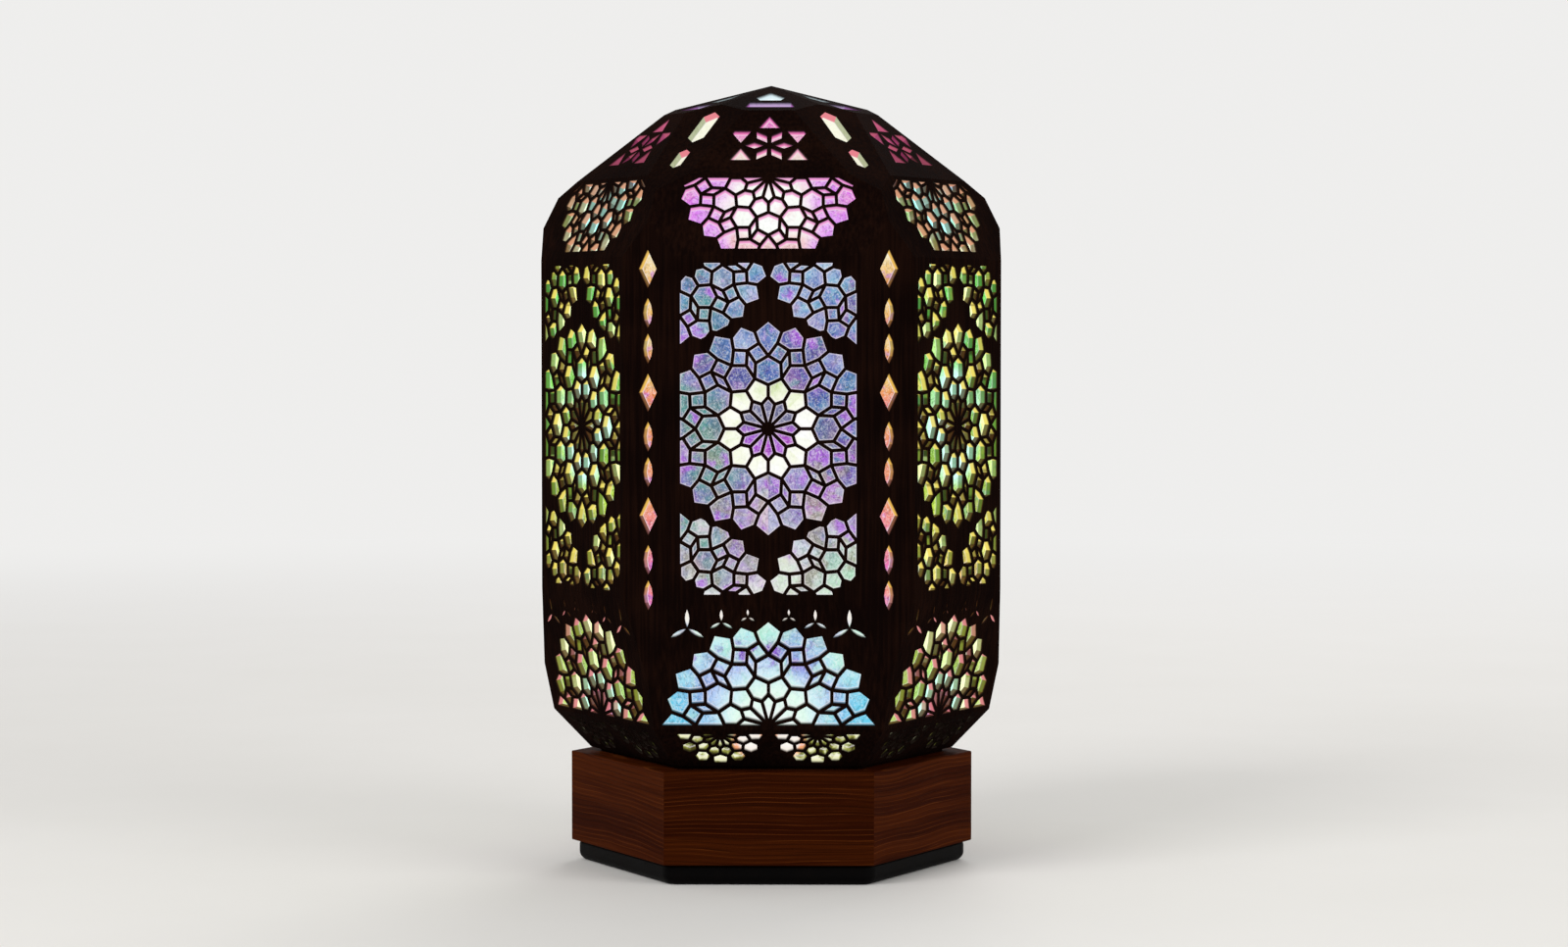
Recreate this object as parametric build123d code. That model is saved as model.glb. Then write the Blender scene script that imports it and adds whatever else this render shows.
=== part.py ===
from build123d import *
from math import cos, hypot, radians, sin, tan
import os

# A lit table lamp: a shade of flat plywood facets with rosette cut-outs, backed by thin film,
# stands on a hexagonal wooden base and lifts off it.
# Millimetres, +Z up. The origin is on the standing surface, under the axis, and the front faces -Y.
# A radius of the shade or the base runs from the axis to the middle of a flat, unless a corner is named.

# Layout
SIDES = 6
FRONT_TURN = -90.0
GLUE_GAP = 0.02
FIT_GAP = 0.05
TOUCH = 1e-6

# Base
FOOT_HEIGHT = 9.1
FOOT_SETBACK = 2.2
FOOT_CORNER_ROUND = 7.0
FOOT_LOWER_ROUND = 4.0
FOOT_UPPER_ROUND = 2.0
BASE_RADIUS = 80.8
BOARD_HEIGHT = 41.8
BOARD_THICKNESS = 12.0
BOARD_EDGE_ROUND = 0.6
DECK_THICKNESS = 6.0
BLOCK_CLEARANCE = 1.2
SCREW_LENGTH = 26.0
SCREW_RADIUS = 1.75
SCREW_HEAD_RADIUS = 3.6
SCREW_HEAD_HEIGHT = 2.4
SCREW_SINK = 1.0
SCREW_CLEARANCE = 0.25
RECESS_WIDTH = 0.9
RECESS_DEPTH = 1.2

# Shade skin: each band's height, and the radius at its lower edge
PANEL_THICKNESS = 3.0
SKIRT_LIFT = 1.8
SKIRT_RADIUS = 72.9
SKIRT_HEIGHT = 17.9
LOWER_RADIUS = 87.9
LOWER_HEIGHT = 57.9
MAIN_RADIUS = 98.3
MAIN_HEIGHT = 150.4
UPPER_HEIGHT = 36.4
CROWN_RADIUS = 82.6
CROWN_HEIGHT = 30.2
CAP_RADIUS = 50.5
CAP_HEIGHT = 14.5
CORNER_STRIP_WIDTH = 26.3
CROWN_STRIP_WIDTH = 32.0
CROWN_STRIP_DROP = 7.2

# Shade inside
FILM_THICKNESS = 0.3
FILM_MARGIN = 1.0
FLOOR_THICKNESS = 4.0
FLOOR_OPENING_RADIUS = 54.0
LOCATING_CLEARANCE = 0.4
LOCATING_WIDTH = 6.0
LOCATING_HEIGHT = 5.0

# Cut-outs: rib between two openings, plain border of a panel, and the narrowest opening that is cut
RIB = 1.5
BORDER = 2.2
UPPER_BORDER = 1.0
UPPER_SILL = 3.8
UPPER_CORNER_BORDER = 3.9
LOWER_BORDER = 1.1
NARROWEST = 0.9

# Rosette mosaic, rib centre lines at full size: distance from the centre
PETALS = 12
KITE_WAIST = 11.1
KITE_TIP = 13.9
SPOKE_END = 19.2
HEXAGON_FOOT = 22.7
HEXAGON_SHOULDER = 29.2
HEXAGON_HEAD = 31.9
SLIVER_TIP = 35.3
SQUARE_CORNER = 37.6
PETAL_SHOULDER = 43.0
OUTER_HEXAGON_TIP = 46.6
PETAL_TIP = 47.6
# and angle from a petal's middle line, in degrees
HEXAGON_SHOULDER_TURN = 10.9
SQUARE_CORNER_TURN = 6.2
PETAL_SHOULDER_TURN = 8.0

# Rosettes on the panels
CORNER_ROSETTE_SCALE = 0.86
CORNER_ROSETTE_ACROSS = 38.8
CORNER_ROSETTE_UP = 76.7
UPPER_ROSETTE_SCALE = 0.87
LOWER_ROSETTE_SCALE = 1.01
SKIRT_ROSETTE_SCALE = 0.62
SKIRT_ROSETTE_ACROSS = 21.6
SKIRT_ROSETTE_DROP = 0.5

# Three-blade openings of the lower panel, outer to inner: place from the rosette's centre, blade size
BLADE_ACROSS = (35.6, 20.6, 9.0)
BLADE_UP = (44.3, 47.1, 49.4)
BLADE_LENGTH = (8.5, 5.7, 3.5)
BLADE_WIDTH = (1.9, 1.4, 1.0)
BLADE_START = 0.45

# Star and triangles of the crown panel
STAR_UP = 20.0
STAR_PETALS = 6
STAR_START = 1.8
STAR_REACH = 11.4
STAR_PETAL_WIDTH = 4.9
TRIANGLE_REACH = 14.6
TRIANGLE_SIDE = 10.0
TRIANGLE_TURNS = (0, 60, 120, -60, -120)

# Openings of the narrow strips and of the cap
STRIP_OPENING_COUNT = 9
STRIP_FIRST_UP = 69.9
DIAMOND_PITCH = 19.3
SPINDLE_PITCH = 15.6
LARGE_DIAMOND = (17.0, 9.3)
SMALL_SPINDLE = (13.4, 4.9)
SPINDLE_STEPS = 2
LONG_LOZENGE = (24.0, 8.3, 49.6)
SHORT_LOZENGE = (14.2, 5.5, 24.6)
LOZENGE_POINT = 0.15
CAP_BAR_WIDTHS = (22.5, 18.5)
CAP_BAR_UP = (6.8, 17.2)
CAP_KITE_WIDTHS = (9.4, 13.4, 0.8)
CAP_KITE_UP = (20.8, 26.8, 37.2)

# Light source on its stem
LIGHT_ABOVE_MAIN = 25.0
STEM_RADIUS = 5.0
STEM_BORE_RADIUS = 3.9
STEM_TAIL = 16.0
STEM_HOLE_CLEARANCE = 0.2
NUT_ACROSS_FLATS = 14.0
NUT_THICKNESS = 4.0
WASHER_RADIUS = 10.0
WASHER_THICKNESS = 1.5
HOLDER_RADIUS = 8.0
HOLDER_HEIGHT = 12.0
HOLDER_SPIGOT = 6.0
PIN_RADIUS = 0.5
PIN_PITCH = 4.0
PIN_LENGTH = 8.0
LAMP_BASE_RADIUS = 6.0
LAMP_BASE_HEIGHT = 8.0
CORE_WIDTH = 6.0
CORE_THICKNESS = 1.6
CORE_HEIGHT = 20.0
CAPSULE_RADIUS = 6.0
CAPSULE_WALL = 0.9
CAPSULE_HEADROOM = 2.0

# Switch and inlet on the rear board, outside X and Z sizes
SWITCH_ACROSS = 13.0
BEZEL_WIDTH = 21.0
BEZEL_HEIGHT = 15.0
BEZEL_THICKNESS = 1.6
SWITCH_WIDTH = 19.0
SWITCH_HEIGHT = 13.0
SWITCH_DEPTH = 17.0
SWITCH_WALL = 1.1
SWITCH_CAVITY_DEPTH = 8.0
ROCKER_CLEARANCE = 0.4
ROCKER_TILT = 9.0
ROCKER_PIN_RADIUS = 1.2
ROCKER_PIN_DEPTH = 1.2
ROCKER_PROUD = 4.2
ROCKER_DIP = 1.0
TAB_WIDTH = 4.8
TAB_THICKNESS = 0.8
TAB_LENGTH = 6.0
TAB_OFFSET = 5.0
INLET_ACROSS = 13.0
INLET_FLANGE_RADIUS = 7.0
INLET_FLANGE_THICKNESS = 1.8
INLET_BARREL_RADIUS = 5.4
INLET_TAIL = 9.0
INLET_BORE_RADIUS = 2.8
INLET_BORE_DEPTH = 10.0
INLET_PIN_RADIUS = 1.05
INLET_PIN_RECESS = 1.2
INLET_NUT_THICKNESS = 3.0
INLET_TAB_OFFSET = 3.0

# Lead wires
WIRE_RADIUS = 0.9
WIRE_BEND = 4.0
WIRE_STRAIGHT = 10.0
WIRE_RISE = 7.0
WIRE_OFFSET = 1.6

# Heights and radii that follow
SECTOR = 360 / SIDES
CORNER_SHARE = cos(radians(SECTOR / 2))
CORNER_LEAN = tan(radians(90 - SECTOR / 2))
BASE_TOP = FOOT_HEIGHT + BOARD_HEIGHT
DECK_BOTTOM = BASE_TOP - DECK_THICKNESS
BOARD_INNER_RADIUS = BASE_RADIUS - BOARD_THICKNESS
SKIRT_Z = BASE_TOP + SKIRT_LIFT
LOWER_Z = SKIRT_Z + SKIRT_HEIGHT
MAIN_Z = LOWER_Z + LOWER_HEIGHT
UPPER_Z = MAIN_Z + MAIN_HEIGHT
CROWN_Z = UPPER_Z + UPPER_HEIGHT
CAP_Z = CROWN_Z + CROWN_HEIGHT
APEX_Z = CAP_Z + CAP_HEIGHT
CORNER_STRIP_RADIUS = MAIN_RADIUS / CORNER_SHARE - CORNER_STRIP_WIDTH / 2 / CORNER_LEAN
STRIP_TIP_RADIUS = CROWN_RADIUS + (MAIN_RADIUS - CROWN_RADIUS) * CROWN_STRIP_DROP / UPPER_HEIGHT
CROWN_STRIP_LOW = (STRIP_TIP_RADIUS / CORNER_SHARE, CROWN_Z - CROWN_STRIP_DROP)
CROWN_STRIP_HIGH = (CAP_RADIUS / CORNER_SHARE - CROWN_STRIP_WIDTH / 2 / CORNER_LEAN, CAP_Z)
LIGHT_Z = UPPER_Z + LIGHT_ABOVE_MAIN
LAMP_BASE_Z = LIGHT_Z - CORE_HEIGHT / 2 - LAMP_BASE_HEIGHT
STEM_TOP = LAMP_BASE_Z - HOLDER_HEIGHT
STEM_BOTTOM = DECK_BOTTOM - STEM_TAIL
FITTING_Z = FOOT_HEIGHT + BOARD_HEIGHT / 2
INLET_NUT_RADIUS = INLET_BARREL_RADIUS + INLET_FLANGE_THICKNESS
FITTING_REACH = max(SWITCH_ACROSS + SWITCH_WIDTH / 2, INLET_ACROSS + INLET_NUT_RADIUS / CORNER_SHARE)
BLOCK_LEG = BOARD_INNER_RADIUS / CORNER_LEAN - FITTING_REACH - BLOCK_CLEARANCE
WIRE_Z = FOOT_HEIGHT + WIRE_RISE

# Skin of the shade: turn from the front in sectors, then radius and height at the foot and the head
SKIN = {
    "skirt": (0, (SKIRT_RADIUS, SKIRT_Z), (LOWER_RADIUS, LOWER_Z)),
    "lower": (0, (LOWER_RADIUS, LOWER_Z), (MAIN_RADIUS, MAIN_Z)),
    "main": (0, (MAIN_RADIUS, MAIN_Z), (MAIN_RADIUS, UPPER_Z)),
    "upper": (0, (MAIN_RADIUS, UPPER_Z), (CROWN_RADIUS, CROWN_Z)),
    "crown": (0, (CROWN_RADIUS, CROWN_Z), (CAP_RADIUS, CAP_Z)),
    "cap": (0, (CAP_RADIUS, CAP_Z), (0, APEX_Z)),
    "corner": (0.5, (CORNER_STRIP_RADIUS, MAIN_Z), (CORNER_STRIP_RADIUS, UPPER_Z)),
    "crown_strip": (0.5, CROWN_STRIP_LOW, CROWN_STRIP_HIGH),
}


def facet_plane(turn, foot, head):
    """Plane of one facet: x across it, y up its slope, z outwards, origin at the middle of its foot."""
    angle = radians(FRONT_TURN + turn * SECTOR)
    outward = Vector(cos(angle), sin(angle), 0)
    across = Vector(-outward.Y, outward.X, 0)
    slope = outward * (head[0] - foot[0]) + Vector(0, 0, head[1] - foot[1])
    return Plane(origin=outward * foot[0] + Vector(0, 0, foot[1]), x_dir=across, z_dir=across.cross(slope))


FACETS = {name: facet_plane(*skin) for name, skin in SKIN.items()}
ALL_FACETS = [facet_plane(turn + k, foot, head) for turn, foot, head in SKIN.values() for k in range(SIDES)]


def clip(points, a, b, c):
    """Part of a convex outline where a*x + b*y <= c."""
    kept = []
    for start, end in zip(points, points[1:] + points[:1]):
        room = c - a * start[0] - b * start[1]
        room_after = c - a * end[0] - b * end[1]
        if room >= -TOUCH:
            kept.append(start)
        if room * room_after < 0 and min(abs(room), abs(room_after)) > TOUCH:
            share = room / (room - room_after)
            kept.append((start[0] + share * (end[0] - start[0]), start[1] + share * (end[1] - start[1])))
    return kept


def inset(points, distance):
    """Convex outline moved inwards by a distance, or an empty list if nothing is left."""
    kept = points
    for (x0, y0), (x1, y1) in zip(points, points[1:] + points[:1]):
        length = hypot(x1 - x0, y1 - y0)
        a, b = (y1 - y0) / length, (x0 - x1) / length
        kept = clip(kept, a, b, a * x0 + b * y0 - distance) if kept else []
    return kept


def outline(plane, depth):
    """Outline of a facet at a depth under its face, mitred against every other facet."""
    reach = 2 * APEX_Z
    points = [(-reach, -reach), (reach, -reach), (reach, reach), (-reach, reach)]
    centre = plane.origin - plane.z_dir * depth
    for other in ALL_FACETS:
        a = other.z_dir.dot(plane.x_dir)
        b = other.z_dir.dot(plane.y_dir)
        if hypot(a, b) > TOUCH:
            room = other.z_dir.dot(other.origin - centre) - depth
            points = clip(points, a, b, room - GLUE_GAP / 2 * hypot(a, b))
    return clip(points, 0, -plane.y_dir.Z, centre.Z - SKIRT_Z)


def wire_on(plane, points, depth):
    """Closed polygon on a facet, at a depth under its face."""
    return Wire.make_polygon([plane.from_local_coords((x, y, -depth)) for x, y in points])


def panel(plane, openings):
    """Plywood facet with mitred edges and straight openings through it."""
    front = outline(plane, 0)
    back = outline(plane, PANEL_THICKNESS)
    first = min(range(len(back)), key=lambda i: hypot(back[i][0] - front[0][0], back[i][1] - front[0][1]))
    back = back[first:] + back[:first]
    faces = []
    for points, depth in ((front, 0), (back, PANEL_THICKNESS)):
        faces.append(Face(wire_on(plane, points, depth), [wire_on(plane, hole, depth) for hole in openings]))
    for upper, under in [(front, back)] + [(hole, hole) for hole in openings]:
        for i in range(len(upper)):
            edge = [plane.from_local_coords((*upper[j % len(upper)], 0)) for j in (i, i + 1)]
            edge += [plane.from_local_coords((*under[j % len(under)], -PANEL_THICKNESS)) for j in (i + 1, i)]
            faces.append(Face(Wire.make_polygon(edge)))
    return Solid(Shell(faces))


def film(plane):
    """Thin sheet against the back of a facet."""
    sheet = Face(wire_on(plane, inset(outline(plane, PANEL_THICKNESS), FILM_MARGIN), PANEL_THICKNESS))
    return Solid.extrude(sheet, plane.z_dir * -FILM_THICKNESS)


def polar(radius, turn):
    """Point at a distance from a rosette's centre, at an angle from its upward line."""
    return radius * sin(radians(turn)), radius * cos(radians(turn))


def mirrored(points):
    """Outline with a right half given upwards, completed by its mirror image, anticlockwise."""
    return points + [(-x, y) for x, y in reversed(points) if abs(x) > TOUCH]


def turned(points, turn, scale=1.0, centre=(0, 0)):
    """Outline turned clockwise about the rosette's centre, scaled and moved."""
    c, s = cos(radians(turn)), sin(radians(turn))
    return [(centre[0] + scale * (x * c + y * s), centre[1] + scale * (y * c - x * s)) for x, y in points]


def rosette(scale, centre, kites=True, outer_rings=True):
    """Mosaic of a rosette along its rib centre lines: kites, two rings of hexagons, then the outer rings."""
    half = 180 / PETALS
    spoke_hexagon = [polar(KITE_WAIST, 0), polar(KITE_TIP, half)]
    spoke_hexagon += [polar(SPOKE_END, half), polar(HEXAGON_FOOT, 0)]
    hexagon = [polar(SPOKE_END, 0), polar(HEXAGON_FOOT, half)]
    hexagon += [polar(HEXAGON_SHOULDER, HEXAGON_SHOULDER_TURN), polar(HEXAGON_HEAD, 0)]
    sliver = [polar(HEXAGON_FOOT, 0), polar(HEXAGON_SHOULDER, half - HEXAGON_SHOULDER_TURN)]
    sliver += [polar(SLIVER_TIP, 0)]
    petal = [polar(HEXAGON_HEAD, 0), polar(SQUARE_CORNER, SQUARE_CORNER_TURN)]
    petal += [polar(PETAL_SHOULDER, PETAL_SHOULDER_TURN), polar(PETAL_TIP, 0)]
    outer_hexagon = [polar(SLIVER_TIP, 0), polar(SQUARE_CORNER, half - SQUARE_CORNER_TURN)]
    outer_hexagon += [polar(PETAL_SHOULDER, half - PETAL_SHOULDER_TURN), polar(OUTER_HEXAGON_TIP, 0)]
    square = [polar(HEXAGON_HEAD, 0), polar(HEXAGON_SHOULDER, HEXAGON_SHOULDER_TURN)]
    square += [polar(SLIVER_TIP, half), polar(SQUARE_CORNER, SQUARE_CORNER_TURN)]
    other_square = [(-x, y) for x, y in reversed(square)]
    on_line, between = [mirrored(hexagon)], [mirrored(spoke_hexagon)]
    if kites:
        on_line.append(mirrored([(0, 0), polar(KITE_WAIST, half), polar(KITE_TIP, 0)]))
    if outer_rings:
        on_line += [mirrored(petal), square, other_square]
        between += [mirrored(sliver), mirrored(outer_hexagon)]
    cells = []
    for k in range(PETALS):
        cells += [turned(cell, 2 * half * k, scale, centre) for cell in on_line]
        cells += [turned(cell, 2 * half * k + half, scale, centre) for cell in between]
    return [inset(cell, RIB / 2) for cell in cells]


def window(plane, border=BORDER):
    """Field of a facet that may be cut, inside its plain border."""
    back = inset(outline(plane, PANEL_THICKNESS), border)
    return trim(back, inset(outline(plane, 0), border))


def trim(cell, field):
    """Part of a convex cell inside a convex field."""
    for (x0, y0), (x1, y1) in zip(field, field[1:] + field[:1]):
        a, b = y1 - y0, x0 - x1
        cell = clip(cell, a, b, a * x0 + b * y0) if cell else []
    return cell


def within(cells, field):
    """Cells trimmed to a convex field, without those that come out too narrow to cut."""
    trimmed = [trim(cell, field) for cell in cells]
    return [cell for cell in trimmed if cell and inset(cell, NARROWEST / 2)]


def rhombus(length, width, centre=(0, 0)):
    """Upright rhombus."""
    x, y = centre
    return [(x, y - length / 2), (x + width / 2, y), (x, y + length / 2), (x - width / 2, y)]


def spindle(length, width, middle):
    """Upright spindle with bowed sides."""
    shares = [k / SPINDLE_STEPS for k in range(-SPINDLE_STEPS, SPINDLE_STEPS + 1)]
    return mirrored([(width / 2 * (1 - share**2), middle + length / 2 * share) for share in shares])


def main_openings(plane):
    """Whole rosette in the middle and four smaller ones cut by the window's corners."""
    middle = (0, MAIN_HEIGHT / 2)
    cells = rosette(1.0, middle)
    for side in (-1, 1):
        for up in (-1, 1):
            across, rise = side * CORNER_ROSETTE_ACROSS, up * CORNER_ROSETTE_UP
            away = hypot(across, rise)
            a, b = -across / away, -rise / away
            limit = a * middle[0] + b * middle[1] - PETAL_TIP - RIB / 2
            corner = rosette(CORNER_ROSETTE_SCALE, (across, middle[1] + rise), kites=False)
            cells += [clip(cell, a, b, limit) for cell in corner]
    return within(cells, window(plane))


def upper_openings(plane):
    """Half rosette that hangs from the window's upper edge, with a wider border along the crown strips."""
    field = clip(window(plane, UPPER_BORDER), 0, -1, -UPPER_SILL)
    turn, foot, head = SKIN["crown_strip"]
    for strip in (facet_plane(turn, foot, head), facet_plane(turn - 1, foot, head)):
        a, b = strip.z_dir.dot(plane.x_dir), strip.z_dir.dot(plane.y_dir)
        room = strip.z_dir.dot(strip.origin - plane.origin) - UPPER_CORNER_BORDER * hypot(a, b)
        field = clip(field, a, b, room)
    return within(rosette(UPPER_ROSETTE_SCALE, (0, max(y for _, y in field))), field)


def lower_openings(plane):
    """Half rosette that stands on the window's lower edge, under a row of three-blade openings."""
    field = window(plane, LOWER_BORDER)
    floor = min(y for _, y in field)
    cells = rosette(LOWER_ROSETTE_SCALE, (0, floor))
    for across, up, length, width in zip(BLADE_ACROSS, BLADE_UP, BLADE_LENGTH, BLADE_WIDTH):
        blade = spindle(length - BLADE_START, width, (length + BLADE_START) / 2)
        for side in (-1, 1):
            cells += [turned(blade, turn, centre=(side * across, floor + up)) for turn in (0, 120, 240)]
    return within(cells, field)


def skirt_openings(plane):
    """Two small half rosettes that hang from the window's upper edge."""
    field = window(plane)
    head = max(y for _, y in field) - SKIRT_ROSETTE_DROP
    cells = []
    for side in (-1, 1):
        cells += rosette(SKIRT_ROSETTE_SCALE, (side * SKIRT_ROSETTE_ACROSS, head), outer_rings=False)
    return within(cells, field)


def crown_openings(plane):
    """Star of rhombic petals with triangles round its upper part."""
    centre = (0, STAR_UP)
    petal = rhombus(STAR_REACH - STAR_START, STAR_PETAL_WIDTH, (0, (STAR_REACH + STAR_START) / 2))
    cells = [turned(petal, 90 + 360 / STAR_PETALS * k, centre=centre) for k in range(STAR_PETALS)]
    triangle = [turned([(0, TRIANGLE_SIDE / 3**0.5)], -turn)[0] for turn in (0, 120, 240)]
    triangle = [(x, y + TRIANGLE_REACH) for x, y in triangle]
    cells += [turned(triangle, turn, centre=centre) for turn in TRIANGLE_TURNS]
    return within(cells, window(plane))


def corner_openings(plane):
    """Row of openings down the strip: a diamond, then two spindles closer together."""
    cells = []
    rise = MAIN_HEIGHT / 2 + STRIP_FIRST_UP
    for k in range(STRIP_OPENING_COUNT):
        cells.append(spindle(*SMALL_SPINDLE, rise) if k % 3 else rhombus(*LARGE_DIAMOND, (0, rise)))
        rise -= SPINDLE_PITCH if k % 3 == 1 else DIAMOND_PITCH
    return within(cells, window(plane))


def lozenge(length, width, middle):
    """Long hexagon with pointed ends."""
    point = LOZENGE_POINT * length
    right = [(0, middle - length / 2), (width / 2, middle - length / 2 + point)]
    right += [(width / 2, middle + length / 2 - point), (0, middle + length / 2)]
    return mirrored(right)


def crown_strip_openings(plane):
    """Long lozenge near the strip's head and a short one below it."""
    return within([lozenge(*LONG_LOZENGE), lozenge(*SHORT_LOZENGE)], window(plane))


def cap_openings(plane):
    """Bar beside the outer edge and a kite towards the apex."""
    rows = ((CAP_BAR_WIDTHS, CAP_BAR_UP), (CAP_KITE_WIDTHS, CAP_KITE_UP))
    cells = [mirrored([(width / 2, up) for width, up in zip(*row)]) for row in rows]
    return within(cells, window(plane))


def around(shape):
    """Copies of a shape in every sector."""
    return [shape.rotate(Axis.Z, SECTOR * k) for k in range(SIDES)]


def prism(points, low, high):
    """Upright prism over an outline."""
    return Solid.extrude(Face(Wire.make_polygon([(x, y, low) for x, y in points])), (0, 0, high - low))


def round_bar(radius, low, high, hole=0):
    """Upright round bar on the axis, or a tube."""
    bar = Pos(0, 0, low) * Cylinder(radius, high - low, align=(Align.CENTER, Align.CENTER, Align.MIN))
    return bar - Pos(0, 0, low) * Cylinder(hole, 2 * (high - low)) if hole else bar


def hexagon_plate(radius, low, high):
    """Upright hexagonal plate by its radius to a flat, with a flat to the front."""
    turns = [radians(SECTOR * k) for k in range(SIDES)]
    corner = radius / CORNER_SHARE
    return prism([(corner * cos(turn), corner * sin(turn)) for turn in turns], low, high)


def tube_along(points, radius):
    """Round wire along straight runs joined by arcs."""
    path = FilletPolyline(*points, radius=WIRE_BEND)
    start = Vector(*points[0])
    section = Plane(start, z_dir=Vector(*points[1]) - start) * Circle(radius)
    return sweep(section, path)


def foot():
    """Black foot with rounded corners and edges, and countersunk screw holes from below."""
    plate = Part() + hexagon_plate(BASE_RADIUS - FOOT_SETBACK, 0, FOOT_HEIGHT)
    plate = fillet(plate.edges().filter_by(Axis.Z), FOOT_CORNER_ROUND)
    plate = fillet(plate.faces().sort_by(Axis.Z)[0].edges(), FOOT_LOWER_ROUND)
    plate = fillet(plate.faces().sort_by(Axis.Z)[-1].edges(), FOOT_UPPER_ROUND)
    for hole in around(screw_profile(SCREW_CLEARANCE)):
        plate -= hole
    return plate


def screw_place():
    """Distance of the foot screws from the axis, at the middle of a corner block."""
    return BOARD_INNER_RADIUS / CORNER_SHARE - BLOCK_LEG * sin(radians(SECTOR / 2)) * 2 / 3


def screw_profile(clearance):
    """Countersunk screw at the first corner, or its hole when given a clearance."""
    head = SCREW_HEAD_RADIUS + clearance
    shank = SCREW_RADIUS + clearance
    top = SCREW_SINK + SCREW_LENGTH
    low = 0 if clearance else SCREW_SINK
    taper = SCREW_SINK + SCREW_HEAD_HEIGHT
    outline_points = [(0, low), (head, low), (head, SCREW_SINK), (shank, taper), (shank, top), (0, top)]
    kept = [point for i, point in enumerate(outline_points) if i == 0 or point != outline_points[i - 1]]
    profile = make_face(Plane.XZ * Polyline(*kept, close=True))
    return Pos(screw_place(), 0, 0) * revolve(profile, Axis.Z)


def foot_screws():
    """Screws through the foot into the corner blocks, with a cross recess."""
    screw = screw_profile(0)
    for width, length in ((RECESS_WIDTH, SCREW_HEAD_RADIUS), (SCREW_HEAD_RADIUS, RECESS_WIDTH)):
        screw -= Pos(screw_place(), 0, SCREW_SINK) * Box(width, length, 2 * RECESS_DEPTH)
    return around(screw)


def base_boards():
    """Mitred boards of the base with eased outer edges; the rear one takes the switch and the inlet."""
    reach = tan(radians(SECTOR / 2))
    outer = BASE_RADIUS * reach - GLUE_GAP / 2
    inner = BOARD_INNER_RADIUS * reach - GLUE_GAP / 2
    points = [(-outer, -BASE_RADIUS), (outer, -BASE_RADIUS)]
    points += [(inner, -BOARD_INNER_RADIUS), (-inner, -BOARD_INNER_RADIUS)]
    board = prism(points, FOOT_HEIGHT, BASE_TOP)
    outer_edges = board.edges().filter_by(Axis.X).group_by(Axis.Y)[0]
    boards = around(fillet(outer_edges, BOARD_EDGE_ROUND))
    switch_hole = Box(SWITCH_WIDTH + 2 * FIT_GAP, 4 * BOARD_THICKNESS, SWITCH_HEIGHT + 2 * FIT_GAP)
    inlet_hole = Rot(90, 0, 0) * Cylinder(INLET_BARREL_RADIUS + FIT_GAP, 4 * BOARD_THICKNESS)
    rear = boards[SIDES // 2] - Pos(-SWITCH_ACROSS, BASE_RADIUS, FITTING_Z) * switch_hole
    boards[SIDES // 2] = rear - Pos(INLET_ACROSS, BASE_RADIUS, FITTING_Z) * inlet_hole
    return boards


def corner_blocks():
    """Glue blocks in the corners of the base, between foot and deck, drilled for the foot screws."""
    corner = (BOARD_INNER_RADIUS - GLUE_GAP) / CORNER_SHARE
    inward, sideways = BLOCK_LEG * sin(radians(SECTOR / 2)), BLOCK_LEG * CORNER_SHARE
    points = [(corner, 0), (corner - inward, sideways), (corner - inward, -sideways)]
    block = prism(points, FOOT_HEIGHT, DECK_BOTTOM)
    hole_top = SCREW_SINK + SCREW_LENGTH + FIT_GAP
    drill = Pos(screw_place(), 0, 0) * Cylinder(SCREW_RADIUS + FIT_GAP, 2 * hole_top)
    return around(block - drill)


def deck():
    """Board that closes the base above and carries the stem."""
    plate = hexagon_plate(BOARD_INNER_RADIUS - GLUE_GAP, DECK_BOTTOM, BASE_TOP)
    return plate - round_bar(STEM_RADIUS + STEM_HOLE_CLEARANCE, 0, 2 * BASE_TOP)


def floor_ring():
    """Hexagonal floor of the shade inside the skirt, with a round way for the light source."""
    lean = hypot(LOWER_RADIUS - SKIRT_RADIUS, SKIRT_HEIGHT) / SKIRT_HEIGHT
    radius = SKIRT_RADIUS - PANEL_THICKNESS * lean - GLUE_GAP
    plate = hexagon_plate(radius, BASE_TOP, BASE_TOP + FLOOR_THICKNESS)
    return plate - round_bar(FLOOR_OPENING_RADIUS, 0, 2 * BASE_TOP)


def locating_ring():
    """Ring on the deck that centres the shade's floor."""
    outer = FLOOR_OPENING_RADIUS - LOCATING_CLEARANCE
    return round_bar(outer, BASE_TOP, BASE_TOP + LOCATING_HEIGHT, outer - LOCATING_WIDTH)


def stem_fasteners():
    """Washer and nut above the deck, and the same below it."""
    hole = STEM_RADIUS + FIT_GAP
    pieces = []
    for face, way in ((BASE_TOP, 1), (DECK_BOTTOM, -1)):
        seat = face + way * WASHER_THICKNESS
        end = seat + way * NUT_THICKNESS
        pieces.append(round_bar(WASHER_RADIUS, min(face, seat), max(face, seat), hole))
        nut = hexagon_plate(NUT_ACROSS_FLATS / 2, min(seat, end), max(seat, end))
        pieces.append(nut - round_bar(hole, 0, 2 * BASE_TOP))
    return pieces


def pin_pair(radius, low, high):
    """Two upright round pins, or their holes."""
    return [Pos(side * PIN_PITCH / 2, 0, 0) * round_bar(radius, low, high) for side in (-1, 1)]


def lamp_holder():
    """Ceramic holder seated in the head of the stem, with two pin holes."""
    holder = round_bar(HOLDER_RADIUS, STEM_TOP, LAMP_BASE_Z)
    holder += round_bar(STEM_BORE_RADIUS - FIT_GAP, STEM_TOP - HOLDER_SPIGOT, STEM_TOP)
    for hole in pin_pair(PIN_RADIUS + FIT_GAP, LAMP_BASE_Z - PIN_LENGTH - FIT_GAP, LAMP_BASE_Z):
        holder -= hole
    return holder


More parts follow.
